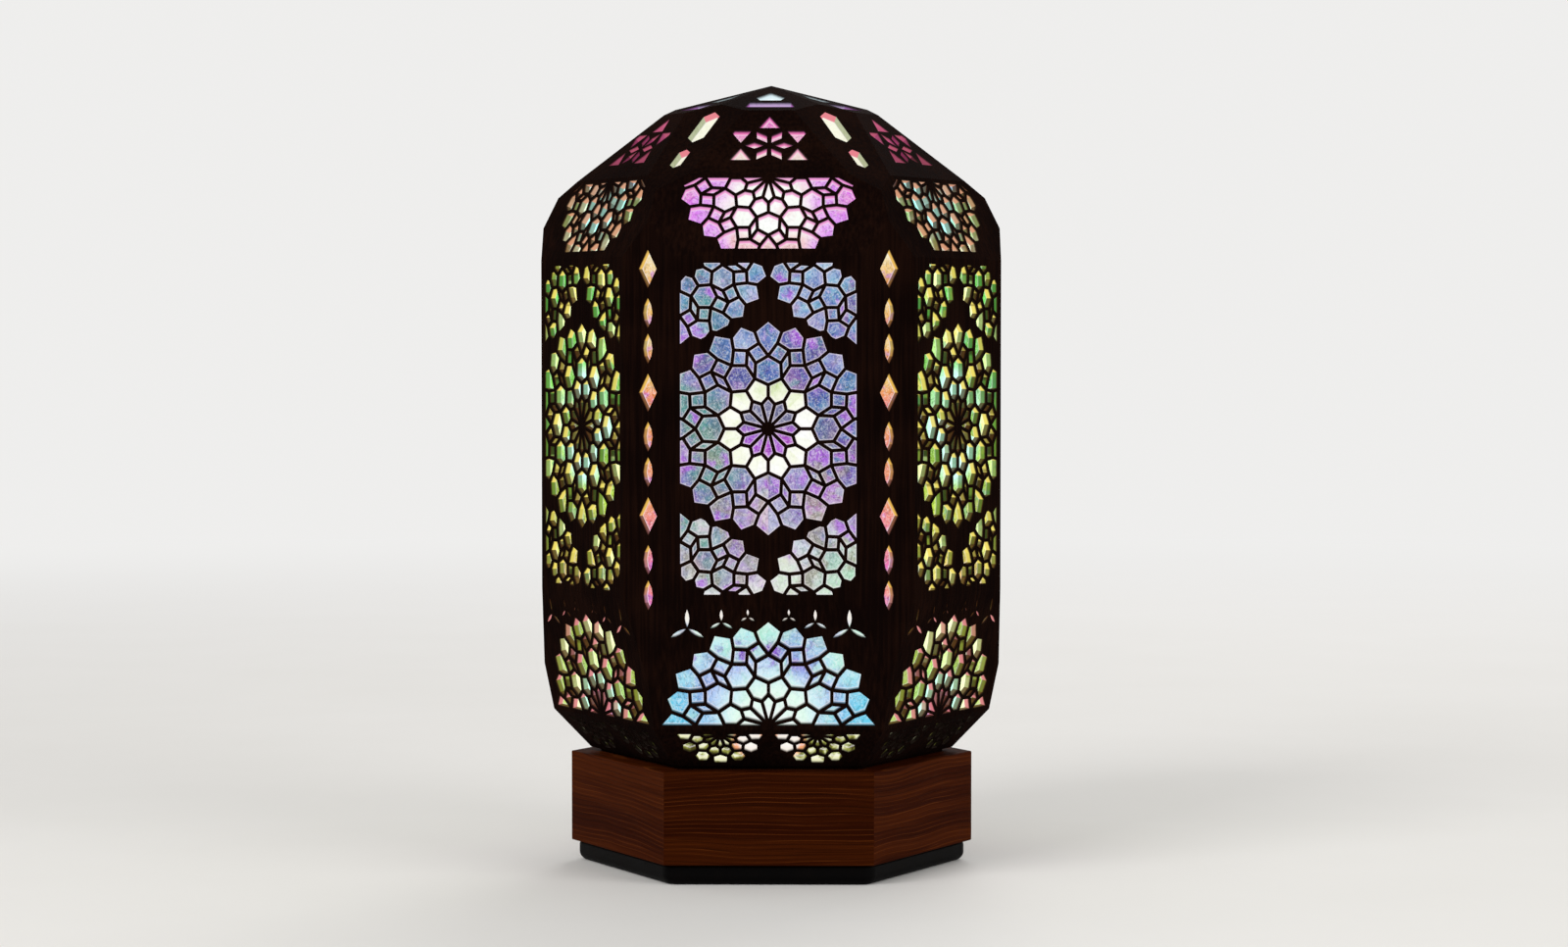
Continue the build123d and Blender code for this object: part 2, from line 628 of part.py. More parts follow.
def lamp_capsule():
    """Clear dome over the emitter, closed below by the lamp's base."""
    low = LAMP_BASE_Z + LAMP_BASE_HEIGHT
    shoulder = low + CORE_HEIGHT + CAPSULE_HEADROOM - CAPSULE_RADIUS + CAPSULE_WALL
    outer = round_bar(CAPSULE_RADIUS, low, shoulder) + Pos(0, 0, shoulder) * Sphere(CAPSULE_RADIUS)
    bore = CAPSULE_RADIUS - CAPSULE_WALL
    return outer - (round_bar(bore, low, shoulder) + Pos(0, 0, shoulder) * Sphere(bore))


def emitter_core():
    """Flat emitter stick on the lamp's base."""
    low = LAMP_BASE_Z + LAMP_BASE_HEIGHT
    return Pos(0, 0, low + CORE_HEIGHT / 2) * Box(CORE_WIDTH, CORE_THICKNESS, CORE_HEIGHT)


def tabs(across, offset, face):
    """Two flat terminals behind a fitting on the rear board."""
    tab = Box(TAB_THICKNESS, TAB_LENGTH, TAB_WIDTH)
    return [Pos(across + side * offset, face - TAB_LENGTH / 2, FITTING_Z) * tab for side in (-1, 1)]


def switch_pivot():
    """Pivot of the rocker, in the plane of the board's face."""
    return Pos(-SWITCH_ACROSS, BASE_RADIUS, FITTING_Z)


def switch_housing():
    """Bezel and body of the switch, hollow for the rocker, with its terminals."""
    body = Pos(0, -SWITCH_DEPTH / 2, 0) * Box(SWITCH_WIDTH, SWITCH_DEPTH, SWITCH_HEIGHT)
    bezel = Pos(0, BEZEL_THICKNESS / 2, 0) * Box(BEZEL_WIDTH, BEZEL_THICKNESS, BEZEL_HEIGHT)
    cavity = Box(SWITCH_WIDTH - 2 * SWITCH_WALL, 2 * SWITCH_CAVITY_DEPTH, SWITCH_HEIGHT - 2 * SWITCH_WALL)
    bearing = Cylinder(ROCKER_PIN_RADIUS + FIT_GAP, rocker_height() + 2 * ROCKER_PIN_DEPTH + 2 * FIT_GAP)
    housing = switch_pivot() * (body + bezel - cavity - bearing)
    return [housing] + tabs(-SWITCH_ACROSS, TAB_OFFSET, BASE_RADIUS - SWITCH_DEPTH)


def rocker_height():
    """Height of the rocker between the walls of its housing."""
    return SWITCH_HEIGHT - 2 * SWITCH_WALL - 2 * ROCKER_CLEARANCE


def switch_rocker():
    """Rocker tilted to one side on its two pins."""
    half = SWITCH_WIDTH / 2 - SWITCH_WALL - 2 * ROCKER_CLEARANCE
    head = half - ROCKER_PROUD * sin(radians(ROCKER_TILT))
    keel = [(half / 3, -2 * ROCKER_PIN_RADIUS), (half, 0)]
    keel += [(head, ROCKER_PROUD), (0, ROCKER_PROUD - ROCKER_DIP)]
    side = make_face(Polyline(*mirrored(keel), close=True))
    rocker = extrude(side, rocker_height() / 2, both=True)
    rocker += Cylinder(ROCKER_PIN_RADIUS, rocker_height() + 2 * ROCKER_PIN_DEPTH)
    return switch_pivot() * Rot(0, 0, ROCKER_TILT) * rocker


def inlet_bar(radius, start, end):
    """Round bar along the inlet's axis, between two places outward from the rear face of the base."""
    bar = Rot(90, 0, 0) * Cylinder(radius, end - start)
    return Pos(INLET_ACROSS, BASE_RADIUS + (start + end) / 2, FITTING_Z) * bar


def dc_inlet():
    """Low-voltage inlet: flanged barrel, its centre pin and its terminals."""
    tail = -BOARD_THICKNESS - INLET_TAIL
    bore_end = INLET_FLANGE_THICKNESS - INLET_BORE_DEPTH
    barrel = inlet_bar(INLET_BARREL_RADIUS, tail, 0)
    barrel += inlet_bar(INLET_FLANGE_RADIUS, 0, INLET_FLANGE_THICKNESS)
    barrel -= inlet_bar(INLET_BORE_RADIUS, bore_end, INLET_FLANGE_THICKNESS)
    pin = inlet_bar(INLET_PIN_RADIUS, bore_end, INLET_FLANGE_THICKNESS - INLET_PIN_RECESS)
    return [barrel, pin] + tabs(INLET_ACROSS, INLET_TAB_OFFSET, BASE_RADIUS + tail)


def dc_inlet_nut():
    """Hexagonal nut that holds the inlet from inside."""
    nut = hexagon_plate(INLET_NUT_RADIUS, 0, INLET_NUT_THICKNESS)
    nut -= Cylinder(INLET_BARREL_RADIUS + FIT_GAP, 4 * INLET_NUT_THICKNESS)
    return Pos(INLET_ACROSS, BOARD_INNER_RADIUS, FITTING_Z) * Rot(90, 0, 0) * nut


def lead_wires():
    """Lead from inlet to switch, and one lead from each of them up the stem to the lamp holder."""
    inlet_end = BASE_RADIUS - BOARD_THICKNESS - INLET_TAIL - TAB_LENGTH
    switch_end = BASE_RADIUS - SWITCH_DEPTH - TAB_LENGTH
    back = min(inlet_end, switch_end) - WIRE_STRAIGHT
    inlet_near, inlet_far = INLET_ACROSS - INLET_TAB_OFFSET, INLET_ACROSS + INLET_TAB_OFFSET
    switch_near, switch_far = -SWITCH_ACROSS + TAB_OFFSET, -SWITCH_ACROSS - TAB_OFFSET
    link = [(inlet_near, inlet_end, FITTING_Z), (inlet_near, back, FITTING_Z)]
    link += [(switch_near, back, FITTING_Z), (switch_near, switch_end, FITTING_Z)]
    wires = [tube_along(link, WIRE_RADIUS)]
    for far, end, side in ((inlet_far, inlet_end, 1), (switch_far, switch_end, -1)):
        rise = side * WIRE_OFFSET
        route = [(far, end, FITTING_Z), (far, back, FITTING_Z), (far, back, WIRE_Z)]
        route += [(rise, 0, WIRE_Z), (rise, 0, STEM_TOP - HOLDER_SPIGOT)]
        wires.append(tube_along(route, WIRE_RADIUS))
    return wires


OPENINGS = {
    "skirt": skirt_openings,
    "lower": lower_openings,
    "main": main_openings,
    "upper": upper_openings,
    "crown": crown_openings,
    "cap": cap_openings,
    "corner": corner_openings,
    "crown_strip": crown_strip_openings,
}
SINGLE_NODES = ("main", "upper", "lower", "crown")
GROUP_NODES = {"skirt": "skirt_panels", "cap": "cap_facets"}
GROUP_NODES |= {"corner": "corner_strips", "crown_strip": "crown_strips"}


def shade_nodes():
    """Panels and films of the shade, by node name."""
    nodes = {"floor_ring": floor_ring()}
    for name, plane in FACETS.items():
        panels = around(panel(plane, OPENINGS[name](plane)))
        nodes[f"{name}_films"] = around(film(plane))
        if name in SINGLE_NODES:
            nodes |= {f"{name}_panel_{k + 1}": piece for k, piece in enumerate(panels)}
        else:
            nodes[GROUP_NODES[name]] = panels
    return nodes


def base_nodes():
    """Pieces of the base, the light source, the switch and the inlet, by node name."""
    nodes = {f"base_board_{k + 1}": board for k, board in enumerate(base_boards())}
    nodes |= {"foot": foot(), "foot_screws": foot_screws(), "corner_blocks": corner_blocks()}
    nodes |= {"deck": deck(), "locating_ring": locating_ring()}
    nodes |= {"stem": round_bar(STEM_RADIUS, STEM_BOTTOM, STEM_TOP, STEM_BORE_RADIUS)}
    nodes |= {"stem_fasteners": stem_fasteners(), "lamp_holder": lamp_holder()}
    nodes |= {"lamp_base": round_bar(LAMP_BASE_RADIUS, LAMP_BASE_Z, LAMP_BASE_Z + LAMP_BASE_HEIGHT)}
    nodes |= {"lamp_pins": pin_pair(PIN_RADIUS, LAMP_BASE_Z - PIN_LENGTH, LAMP_BASE_Z)}
    nodes |= {"emitter_core": emitter_core(), "lamp_capsule": lamp_capsule()}
    nodes |= {"switch_housing": switch_housing(), "switch_rocker": switch_rocker()}
    nodes |= {"dc_inlet": dc_inlet(), "dc_inlet_nut": dc_inlet_nut(), "lead_wires": lead_wires()}
    return nodes


os.makedirs("parts", exist_ok=True)
for node, shape in (shade_nodes() | base_nodes()).items():
    pieces = shape if isinstance(shape, list) else [shape]
    solids = [solid for piece in pieces for solid in piece.solids()]
    export_step(solids[0] if len(solids) == 1 else Compound(solids), f"parts/{node}.step")
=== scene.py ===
# %% [markdown]
# # A lit fretwork lamp
# The lamp is a shade of thin plywood facets, cut through with rosettes and backed with coloured film,
# on a six-sided wooden base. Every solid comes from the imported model, in metres, and stays where it is.
# This lesson gives each of them its finish, then sets up the floor, the light and the camera.

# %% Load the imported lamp
from math import cos, radians, sin

import bpy
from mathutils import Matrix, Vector


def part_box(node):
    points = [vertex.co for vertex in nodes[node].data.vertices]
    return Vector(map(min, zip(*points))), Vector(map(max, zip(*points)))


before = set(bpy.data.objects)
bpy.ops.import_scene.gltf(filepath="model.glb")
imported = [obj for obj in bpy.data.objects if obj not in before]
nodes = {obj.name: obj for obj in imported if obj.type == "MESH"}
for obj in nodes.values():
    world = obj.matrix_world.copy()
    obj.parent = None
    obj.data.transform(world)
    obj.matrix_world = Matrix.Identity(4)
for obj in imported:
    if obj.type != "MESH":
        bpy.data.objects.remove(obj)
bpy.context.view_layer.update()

# %% [markdown]
# ## Writing a finish as a sum
# A finish is a net of nodes. It is often wired by hand in the Shader Editor, but as a formula it can be
# read from left to right. This small class holds one output socket. Plus, minus, times and divide add
# Math nodes, and `node` adds any other node: its settings come first, then the values or links of its
# sockets.

# %% A socket that can be used in a formula
class Sock:
    """One output socket of a finish."""

    def __init__(self, socket):
        self.socket = socket

    def node(self, kind, inputs, output=0, stops=None, **settings):
        tree = self.socket.id_data
        made = tree.nodes.new(kind)
        for name, value in settings.items():
            setattr(made, name, value)
        if stops:
            ramp = made.color_ramp
            while len(ramp.elements) < len(stops):
                ramp.elements.new(1.0)
            for element, (place, colour) in zip(ramp.elements, stops):
                element.position, element.color = place, (*colour, 1.0)
        for key, value in inputs.items():
            if isinstance(value, Sock):
                tree.links.new(value.socket, made.inputs[key])
            elif value is not None:
                made.inputs[key].default_value = value
        return Sock(made.outputs[output])

    def math(self, operation, *others):
        return self.node("ShaderNodeMath", dict(enumerate((self, *others))), operation=operation)

    def __add__(self, other):
        return self.math("ADD", other)

    def __sub__(self, other):
        return self.math("SUBTRACT", other)

    def __rsub__(self, other):
        return self.node("ShaderNodeMath", {0: other, 1: self}, operation="SUBTRACT")

    def __mul__(self, other):
        return self.math("MULTIPLY", other)

    def __truediv__(self, other):
        return self.math("DIVIDE", other)

    __radd__, __rmul__ = __add__, __mul__


print("sums ready")

# %% [markdown]
# ## Small tools for every finish
# Colours are chosen as a screen shows them, from 0 to 255, and turned into the linear numbers that a
# shader adds up. `finish` starts a material with one Principled shader, and hands back the place on the
# piece. An unwrapped mesh could give that place too, but Object coordinates need no unwrapping, hold
# true sizes, and move with the piece when the shade is lifted.

# %% Colours, and the start of a finish
def paint(red, green, blue):
    """Linear colour from screen values, by the usual curve of a screen."""
    shares = [value / 255 for value in (red, green, blue)]
    return tuple(s / 12.92 if s <= 0.04045 else ((s + 0.055) / 1.055) ** 2.4 for s in shares)


def finish(name, **sockets):
    """New material: returns it, its shader, and the place on the piece."""
    material = bpy.data.materials.new(name)
    material.use_nodes = True
    tree = material.node_tree
    shader = tree.nodes["Principled BSDF"]
    for socket, value in sockets.items():
        shader.inputs[socket.replace("_", " ")].default_value = value
    return material, shader, Sock(tree.nodes.new("ShaderNodeTexCoord").outputs["Object"])


def feed(shader, **links):
    """Links sums to the shader's sockets."""
    for socket, value in links.items():
        shader.id_data.links.new(value.socket, shader.inputs[socket.replace("_", " ")])


print("half grey on a screen is", round(paint(128, 128, 128)[0], 3), "to a shader")

# %% Places, ramps and masks
def xyz(place):
    """The three numbers of a place."""
    return [place.node("ShaderNodeSeparateXYZ", {0: place}, output=k) for k in range(3)]


def joined(x, y, z):
    """A place from three numbers."""
    first = next(value for value in (x, y, z) if isinstance(value, Sock))
    return first.node("ShaderNodeCombineXYZ", {0: x, 1: y, 2: z})


def ramp(value, *stops):
    """Colour by a number from 0 to 1."""
    return value.node("ShaderNodeValToRGB", {0: value}, stops=stops)


def blend(share, first, second):
    """Second colour over the first, by a share."""
    ends = {6: (*first, 1) if isinstance(first, tuple) else first, 0: share}
    ends[7] = (*second, 1) if isinstance(second, tuple) else second
    maker = next(value for value in ends.values() if isinstance(value, Sock))
    return maker.node("ShaderNodeMix", ends, output=2, data_type="RGBA")


def between(value, low, high):
    """0 below low, 1 above high, smooth between; the other way round if high is the lower one."""
    if low > high:
        return 1 - between(value, high, low)
    ends = {0: value, 1: low, 2: high}
    return value.node("ShaderNodeMapRange", ends, interpolation_type="SMOOTHSTEP")


print("places, ramps and masks ready")

# %% Noise, relief and wear
def noise(place, scale, detail=3.0, rough=0.55, twist=0.0):
    """Soft random number round a half."""
    sockets = {"Vector": place, "Scale": scale, "Detail": detail}
    sockets |= {"Roughness": rough, "Distortion": twist}
    return place.node("ShaderNodeTexNoise", sockets)


def bumped(shader, height, depth):
    """Relief of a given depth in metres, on the shader's normal."""
    sockets = {"Strength": 1.0, "Distance": depth, "Height": height}
    feed(shader, Normal=height.node("ShaderNodeBump", sockets))


def wear(piece_names, material):
    """Gives a finish to pieces."""
    for name in piece_names:
        nodes[name].data.materials.clear()
        nodes[name].data.materials.append(material)


print("noise, relief and wear ready")

# %% [markdown]
# ## Stained plywood
# The facets are thin plywood with a brown stain so dark that it reads as black beside the light. Under
# a lamp the grain still shows as slim streaks, and the surface has a soft sheen. A picture of veneer
# could be laid on, but noise that is stretched upwards needs no file, fits every panel and never
# repeats. The walls of the openings get a finish of their own further on.

# %% Dark stain on the faces
STAIN_DARK, STAIN_WARM = paint(12, 5, 4), paint(27, 13, 8)
STREAK_ACROSS, STREAK_UP, PATCH_SCALE = 700, 26, 34.0
STAIN_RELIEF = 0.00006
stain, shader, place = finish("dark_stained_ply", Specular_IOR_Level=0.004)
x, y, z = xyz(place)
streak = noise(joined(x * STREAK_ACROSS, y * STREAK_ACROSS, z * STREAK_UP), 1.0, detail=5)
patch = noise(place, PATCH_SCALE)
feed(shader, Base_Color=blend(between(streak * 0.7 + patch * 0.5, 0.45, 0.85), STAIN_DARK, STAIN_WARM))
feed(shader, Roughness=0.65 + 0.25 * streak)
bumped(shader, streak, STAIN_RELIEF)

SIDES = 6
BANDS = ("main", "upper", "lower", "crown")
STRIPS = ("corner_strips", "crown_strips", "cap_facets", "skirt_panels")
panels = [f"{band}_panel_{k}" for band in BANDS for k in range(1, SIDES + 1)] + list(STRIPS)
wear(panels, stain)
print("stained:", len(panels), "nodes")

# %% [markdown]
# ## Film that glows
# Behind every opening lies a crinkled, iridescent film, lit from inside. On the real lamp its colour
# drifts over each panel: blue and violet at the front and back, green and gold on the other four sides.
# A lamp inside could shine through a translucent film, but that light comes out grainy and of one
# colour. So each film glows by itself, painted light with colours that follow the place on the panel:
# how far across, how far up, and how far from the middle of the rosette. Painted white glints on threads
# and streaks and painted shade in the creases break the colour up, and a painted highlight makes the rim
# along a sawn edge paler: an Ambient Occlusion node finds it.

# %% Place on a panel
MILLI = 0.001
SECTOR = 360 // SIDES


def panel_place(place, facing):
    """Across the panel, and up, in millimetres."""
    x, y, z = xyz(place)
    if facing == "front":
        return x / MILLI, z / MILLI
    side = x.math("ABSOLUTE") * cos(radians(SECTOR)) - y.math("ABSOLUTE") * sin(radians(SECTOR))
    return side / MILLI, z / MILLI


def from_middle(across, up, middle, slope=1.0):
    """Distance from a rosette's middle."""
    rise = (up - middle) * slope
    return (across * across + rise * rise).math("SQRT")


print("one sector of the shade:", SECTOR, "degrees")

# %% Crinkles
CREASE_SCALE, CELL_SCALE = 420.0, 330.0


def crinkle(place):
    """Fine creases of a stretched film."""
    creases = noise(place, CREASE_SCALE, detail=4, twist=2.2)
    cells = {"Vector": place, "Scale": CELL_SCALE}
    facets = place.node("ShaderNodeTexVoronoi", cells, feature="DISTANCE_TO_EDGE")
    return creases * 0.75 + between(facets, 0.0, 0.25) * 0.35


print("crinkles ready")

# %% Rings of a rosette
# At full size: distance from its middle where one ring gives way to the next, in millimetres
PETAL_TURN = radians(30)
KITE_WAIST, KITE_TIP, SPOKE_END, HEXAGON_FOOT, OUTER_RING = 11.1, 13.9, 19.2, 22.7, 31.0
SMALL_START, SMALL_LEAN, SMALL_END, SMALL_FADE, SMALL_TURN = 31.9, 3.7, 36.2, 0.4, (0.3, 0.42)
SOFT = 0.3


def rosette(across, rise, scale=1.0, seed=0.0):
    """Shares of the kites, the first ring and the small openings, and a random number per opening."""
    away = (across * across + rise * rise).math("SQRT") / scale
    turn = across.math("ARCTAN2", rise)
    zigzag = (turn / (PETAL_TURN / 2)).math("PINGPONG", 1.0)
    kites = between(away - (KITE_TIP - (KITE_TIP - KITE_WAIST) * zigzag), SOFT, -SOFT)
    inside = between(away - (SPOKE_END + (HEXAGON_FOOT - SPOKE_END) * zigzag), SOFT, -SOFT)
    small = between(away - (SMALL_START - SMALL_LEAN * zigzag), -SOFT, SOFT)
    small = small * between(away, SMALL_END + SMALL_FADE, SMALL_END) * between(zigzag, *SMALL_TURN)
    outer = away.math("GREATER_THAN", OUTER_RING)
    place_in_ring = (turn / PETAL_TURN * (1 + outer)).math("ROUND")
    draw = joined(place_in_ring * 1.7 + seed, outer * 3.1 + inside * 5.3, 0.0)
    random = draw.node("ShaderNodeTexWhiteNoise", {"Vector": draw})
    return kites, inside * (1 - kites), small, random


print("rings end at", KITE_TIP, HEXAGON_FOOT, OUTER_RING, SMALL_END, "mm")

# %% A film that glows by itself
GLOW = 1.0
DIM, HOT = 0.1, (0.55, 0.85)
WHITE, BLACK = (1.0, 1.0, 1.0), (0.0, 0.0, 0.0)
# A pale painted highlight along a sawn edge, its reach and where it starts
RIM_HIGHLIGHT, RIM_REACH, RIM_FROM = paint(246, 234, 240), 0.0008, (0.88, 0.7)
FILM_BASE, FILM_SHEEN, FILM_RELIEF = (0.005, 0.005, 0.006, 1.0), 0.08, 0.0001
STREAK_GLINT_SHARE, THREAD_GLINT_SHARE, RIM_HIGHLIGHT_SHARE, CREASE_SHADE_SHARE, CLEAR_WHEN_HOT = 0.2, 0.45, 0.5, 0.42, 0.75
SIDE_FILM = dict(sparkle=0.45, glow=1.45, crease=0.55)


def film(name, colours, sparkle=1.0, glow=GLOW, crease=CREASE_SHADE_SHARE):
    """Film that glows: colours makes its hue, sparkle scales its painted glints, and crease its painted
    shade.
    """
    sockets = dict(Specular_IOR_Level=FILM_SHEEN, Roughness=0.3, Emission_Strength=glow)
    material, shader, place = finish(name, Base_Color=FILM_BASE, **sockets)
    x, y, z = xyz(place)
    relief = crinkle(place)
    streaks = noise(joined(x * 760, y * 760, z * 330), 1.0, detail=4, rough=0.7, twist=0.6)
    hue = colours(place)
    thread = (noise(place, 330.0, detail=3, twist=1.6) - 0.5).math("ABSOLUTE")
    level = hue.node("ShaderNodeRGBToBW", {0: hue})
    bright, hot = between(level, 0.0, DIM), between(level, *HOT)
    # Painted glints: white streaks and threads where the film is bright
    hue = blend(between(streaks, 0.5, 0.74) * bright * (STREAK_GLINT_SHARE * sparkle), hue, WHITE)
    hue = blend(between(thread, 0.04, 0.0) * bright * (THREAD_GLINT_SHARE * sparkle), hue, WHITE)
    # Painted shade in the creases, cleared where the film is white hot
    dark = between(streaks * 0.5 + relief * 0.5, 0.52, 0.34) * (1 - CLEAR_WHEN_HOT * hot)
    hue = blend(dark * crease, hue, BLACK)
    # Painted highlight: a pale rim beside a sawn wall, found by Ambient Occlusion
    free = place.node("ShaderNodeAmbientOcclusion", {"Distance": RIM_REACH}, output="AO", samples=8)
    hue = blend(between(free, *RIM_FROM) * bright * (RIM_HIGHLIGHT_SHARE * sparkle), hue, RIM_HIGHLIGHT)
    feed(shader, Emission_Color=hue)
    bumped(shader, relief, FILM_RELIEF)
    return material


print("film ready, rim", RIM_REACH / MILLI, "mm wide")

# %% [markdown]
# ### Film of the tall panels
# At the front the tall panel runs from sky blue at the top through violet to a pale foot. The first
# ring of the rosette is nearly white, and the kites in its middle turn from slate to magenta. On the
# sides the small openings and the kites lie in shadow, and the rest is lively green and gold. A painted
# picture could hold all this. Here a ramp over the height, a mask for each ring and a random number for
# each opening do it, so every stone of the mosaic has a tone of its own and stays sharp close up.

# %% Measures of a tall panel
main_low, main_high = (corner.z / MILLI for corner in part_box("main_panel_1"))
MAIN_MIDDLE = (main_low + main_high) / 2


def share_up(up, low, high):
    """0 at a foot, 1 at a head."""
    return (up - low) / (high - low)


print(f"tall panel: {main_low:.1f} to {main_high:.1f} mm")

# %% Five rosettes on a tall panel
CORNER_SCALE, CORNER_ACROSS, CORNER_UP, CORNER_START = 0.86, 38.8, 76.7, 48.5


def main_rosettes(across, up):
    """Kites and first ring of the middle rosette; small openings and a random number for all five."""
    rise = up - MAIN_MIDDLE
    kites, ring, small, random = rosette(across, rise)
    corner = across.math("SIGN") + rise.math("SIGN") * 2.3
    in_corner = (across.math("ABSOLUTE") - CORNER_ACROSS, rise.math("ABSOLUTE") - CORNER_UP)
    corner_small, corner_random = rosette(*in_corner, CORNER_SCALE, corner * 7.7)[2:]
    outside = (across * across + rise * rise).math("SQRT").math("GREATER_THAN", CORNER_START)
    small = small + (corner_small - small) * outside
    return kites, ring, small, random + (corner_random - random) * outside


print("corner rosettes:", CORNER_ACROSS, "mm across and", CORNER_UP, "mm up from the middle one")

# %% Tall panels at the front and back
KITE_REACH = 13
IRIDESCENT = (
    (0.0, paint(100, 170, 196)),
    (0.25, paint(78, 104, 188)),
    (0.5, paint(134, 92, 192)),
    (0.72, paint(188, 108, 182)),
    (1.0, paint(124, 184, 156)),
)


def main_front(place):
    """Blue, violet and lavender, with a white ring and magenta kites."""
    across, up = panel_place(place, "front")
    kites, ring, _, random = main_rosettes(across, up)
    height = share_up(up, main_low, main_high)
    drift = noise(place, 30.0) * 0.5 - 0.25 + (random - 0.5) * 0.25
    within = noise(place, 150.0, detail=2) - 0.5
    base = ramp(
        height + drift * 0.7 + within * 0.3,
        (0.0, paint(232, 244, 216)),
        (0.14, paint(230, 222, 222)),
        (0.25, paint(172, 120, 192)),
        (0.38, paint(138, 94, 170)),
        (0.50, paint(86, 88, 164)),
        (0.64, paint(68, 94, 158)),
        (0.80, paint(84, 124, 182)),
        (1.0, paint(158, 202, 226)),
    )
    turn = (noise(place, 85.0, detail=2, twist=0.8) * 2.4 + random * 1.3).math("PINGPONG", 1.0)
    base = blend(between(height, 0.0, 0.3) * 0.25 + 0.17, base, ramp(turn, *IRIDESCENT))
    tone = (random * 7.3).math("FRACT") + within
    base = blend(between(tone, 0.5, 0.0) * 0.5, base, paint(62, 80, 146))
    base = blend(between(tone, 0.6, 1.1) * 0.35, base, paint(200, 212, 240))
    teal = between(across + drift * 50, -6.0, -30.0) * between(noise(place, 46.0), 0.42, 0.58)
    base = blend(teal * 0.85, base, paint(78, 156, 142))
    green = between(across + drift * 40, 6.0, 36.0) * between(height, 0.3, 0.05)
    base = blend(green * 0.7, base, paint(160, 226, 184))
    olive = between(noise(place, 62.0, twist=1.0), 0.5, 0.62) * between(height, 0.6, 0.35)
    base = blend(olive * 0.65, base, paint(150, 144, 118))
    base = blend(between(noise(place, 72.0), 0.56, 0.64) * 0.8, base, paint(176, 98, 222))
    flecks = between(noise(place, 240.0, detail=4, rough=0.7), 0.58, 0.68)
    base = blend(flecks * 0.5, base, paint(206, 164, 232))
    shade = (height - 0.5) * 2.2 + random * 0.5 + within * 0.9 + 0.25
    pale = ramp(shade, (0.2, WHITE), (0.55, paint(250, 253, 232)), (0.95, paint(206, 226, 160)))
    base = blend(ring, base, pale)
    heart = ramp(
        share_up(up, MAIN_MIDDLE - KITE_REACH, MAIN_MIDDLE + KITE_REACH),
        (0.2, paint(192, 84, 212)),
        (0.46, paint(164, 92, 204)),
        (0.62, paint(110, 112, 150)),
    )
    return blend(kites, base, blend(between(random, 0.4, 0.9) * 0.35, heart, paint(120, 84, 210)))


print("front of the tall panels:", len(IRIDESCENT), "tones drift over its ramp")

# %% Tall panels at the other four sides
IN_SHADOW, BROWN_SHADOW = paint(30, 34, 10), paint(86, 60, 24)


def main_side(place):
    """Green and gold, with the kites and the small openings in shadow."""
    across, up = panel_place(place, "side")
    away = from_middle(across, up, MAIN_MIDDLE)
    kites, _, small, random = main_rosettes(across, up)
    drift = noise(place, 55.0) * 0.6 - 0.3 + (random - 0.5) * 0.4
    base = ramp(
        share_up(up, main_low, main_high) + drift * 0.35,
        (0.0, paint(222, 180, 96)),
        (0.14, paint(186, 184, 62)),
        (0.36, paint(156, 200, 64)),
        (0.62, paint(122, 206, 84)),
        (0.84, paint(100, 200, 84)),
        (1.0, paint(96, 180, 66)),
    )
    base = blend(between(random, 0.5, 0.1) * 0.4, base, paint(58, 112, 30))
    # Painted highlight: some openings turn near white
    base = blend(between(random, 0.6, 0.9) * 0.8, base, paint(240, 255, 172))
    base = blend(between(noise(place, 70.0), 0.54, 0.66) * 0.7, base, paint(232, 208, 84))
    base = blend(between(noise(place, 64.0, twist=1.0), 0.56, 0.66) * 0.6, base, paint(84, 160, 120))
    pale = between(away, 30.0, 22.0) * between(away, 8.0, 13.0)
    base = blend(pale * between(random, 0.1, 0.5), base, paint(188, 246, 226))
    base = blend(kites * 0.7, base, BROWN_SHADOW)
    return blend(small * 0.85, base, IN_SHADOW)


print("sides of the tall panels ready")

# %% [markdown]
# ### Laying the films
# Only the outer face of a film glows. The inner face has a plain pale finish, so no light leaks through
# the joints of the shade. Faces could be picked by hand in Edit Mode, but their normals tell them apart:
# the outer face of a film looks the way in which the largest faces of its node look out.

# %% Outer faces, front and back
BROAD, FRONT_SLOPE = 0.5, 1.5


def outer_normals(mesh):
    """Normals of the outer faces of a node's facets, known by their large area."""
    areas = {}
    for polygon in mesh.polygons:
        if polygon.normal.dot(polygon.center) > 0:
            way = tuple(round(value, 2) + 0.0 for value in polygon.normal)
            areas[way] = areas.get(way, 0.0) + polygon.area
    least = BROAD * max(areas.values())
    return [Vector(way).normalized() for way, area in areas.items() if area > least]


def faces_front(polygon):
    """Whether a face belongs to the front or the back of the lamp."""
    return abs(polygon.center.y) > FRONT_SLOPE * abs(polygon.center.x)


print("ways that the tall films look:", len(outer_normals(nodes["main_films"].data)))

# %% Film on both faces
OUTER_FACE = 0.99
inside_film, shader, place = finish("film_inside", Roughness=0.35, Specular_IOR_Level=0.3)
creases = crinkle(place)
feed(shader, Base_Color=blend(between(creases, 0.3, 0.8), paint(150, 140, 168), paint(214, 208, 226)))
bumped(shader, creases, FILM_RELIEF)


def lay_film(node, glow, side_glow=None):
    """Glow on the outer faces of a node's films, another at the sides if given, and a pale inside."""
    mesh = nodes[node].data
    wear([node], inside_film)
    mesh.materials.append(glow)
    mesh.materials.append(side_glow or glow)
    ways = outer_normals(mesh)
    looks_out = [max(map(p.normal.dot, ways)) > OUTER_FACE for p in mesh.polygons]
    kinds = [(1 if faces_front(p) else 2) if out else 0 for p, out in zip(mesh.polygons, looks_out)]
    mesh.polygons.foreach_set("material_index", kinds)
    mesh.update()
    front, side, inside = (kinds.count(kind) for kind in (1, 2, 0))
    print(f"{node}: {front} faces at front and back, {side} at the sides, {inside} inside")


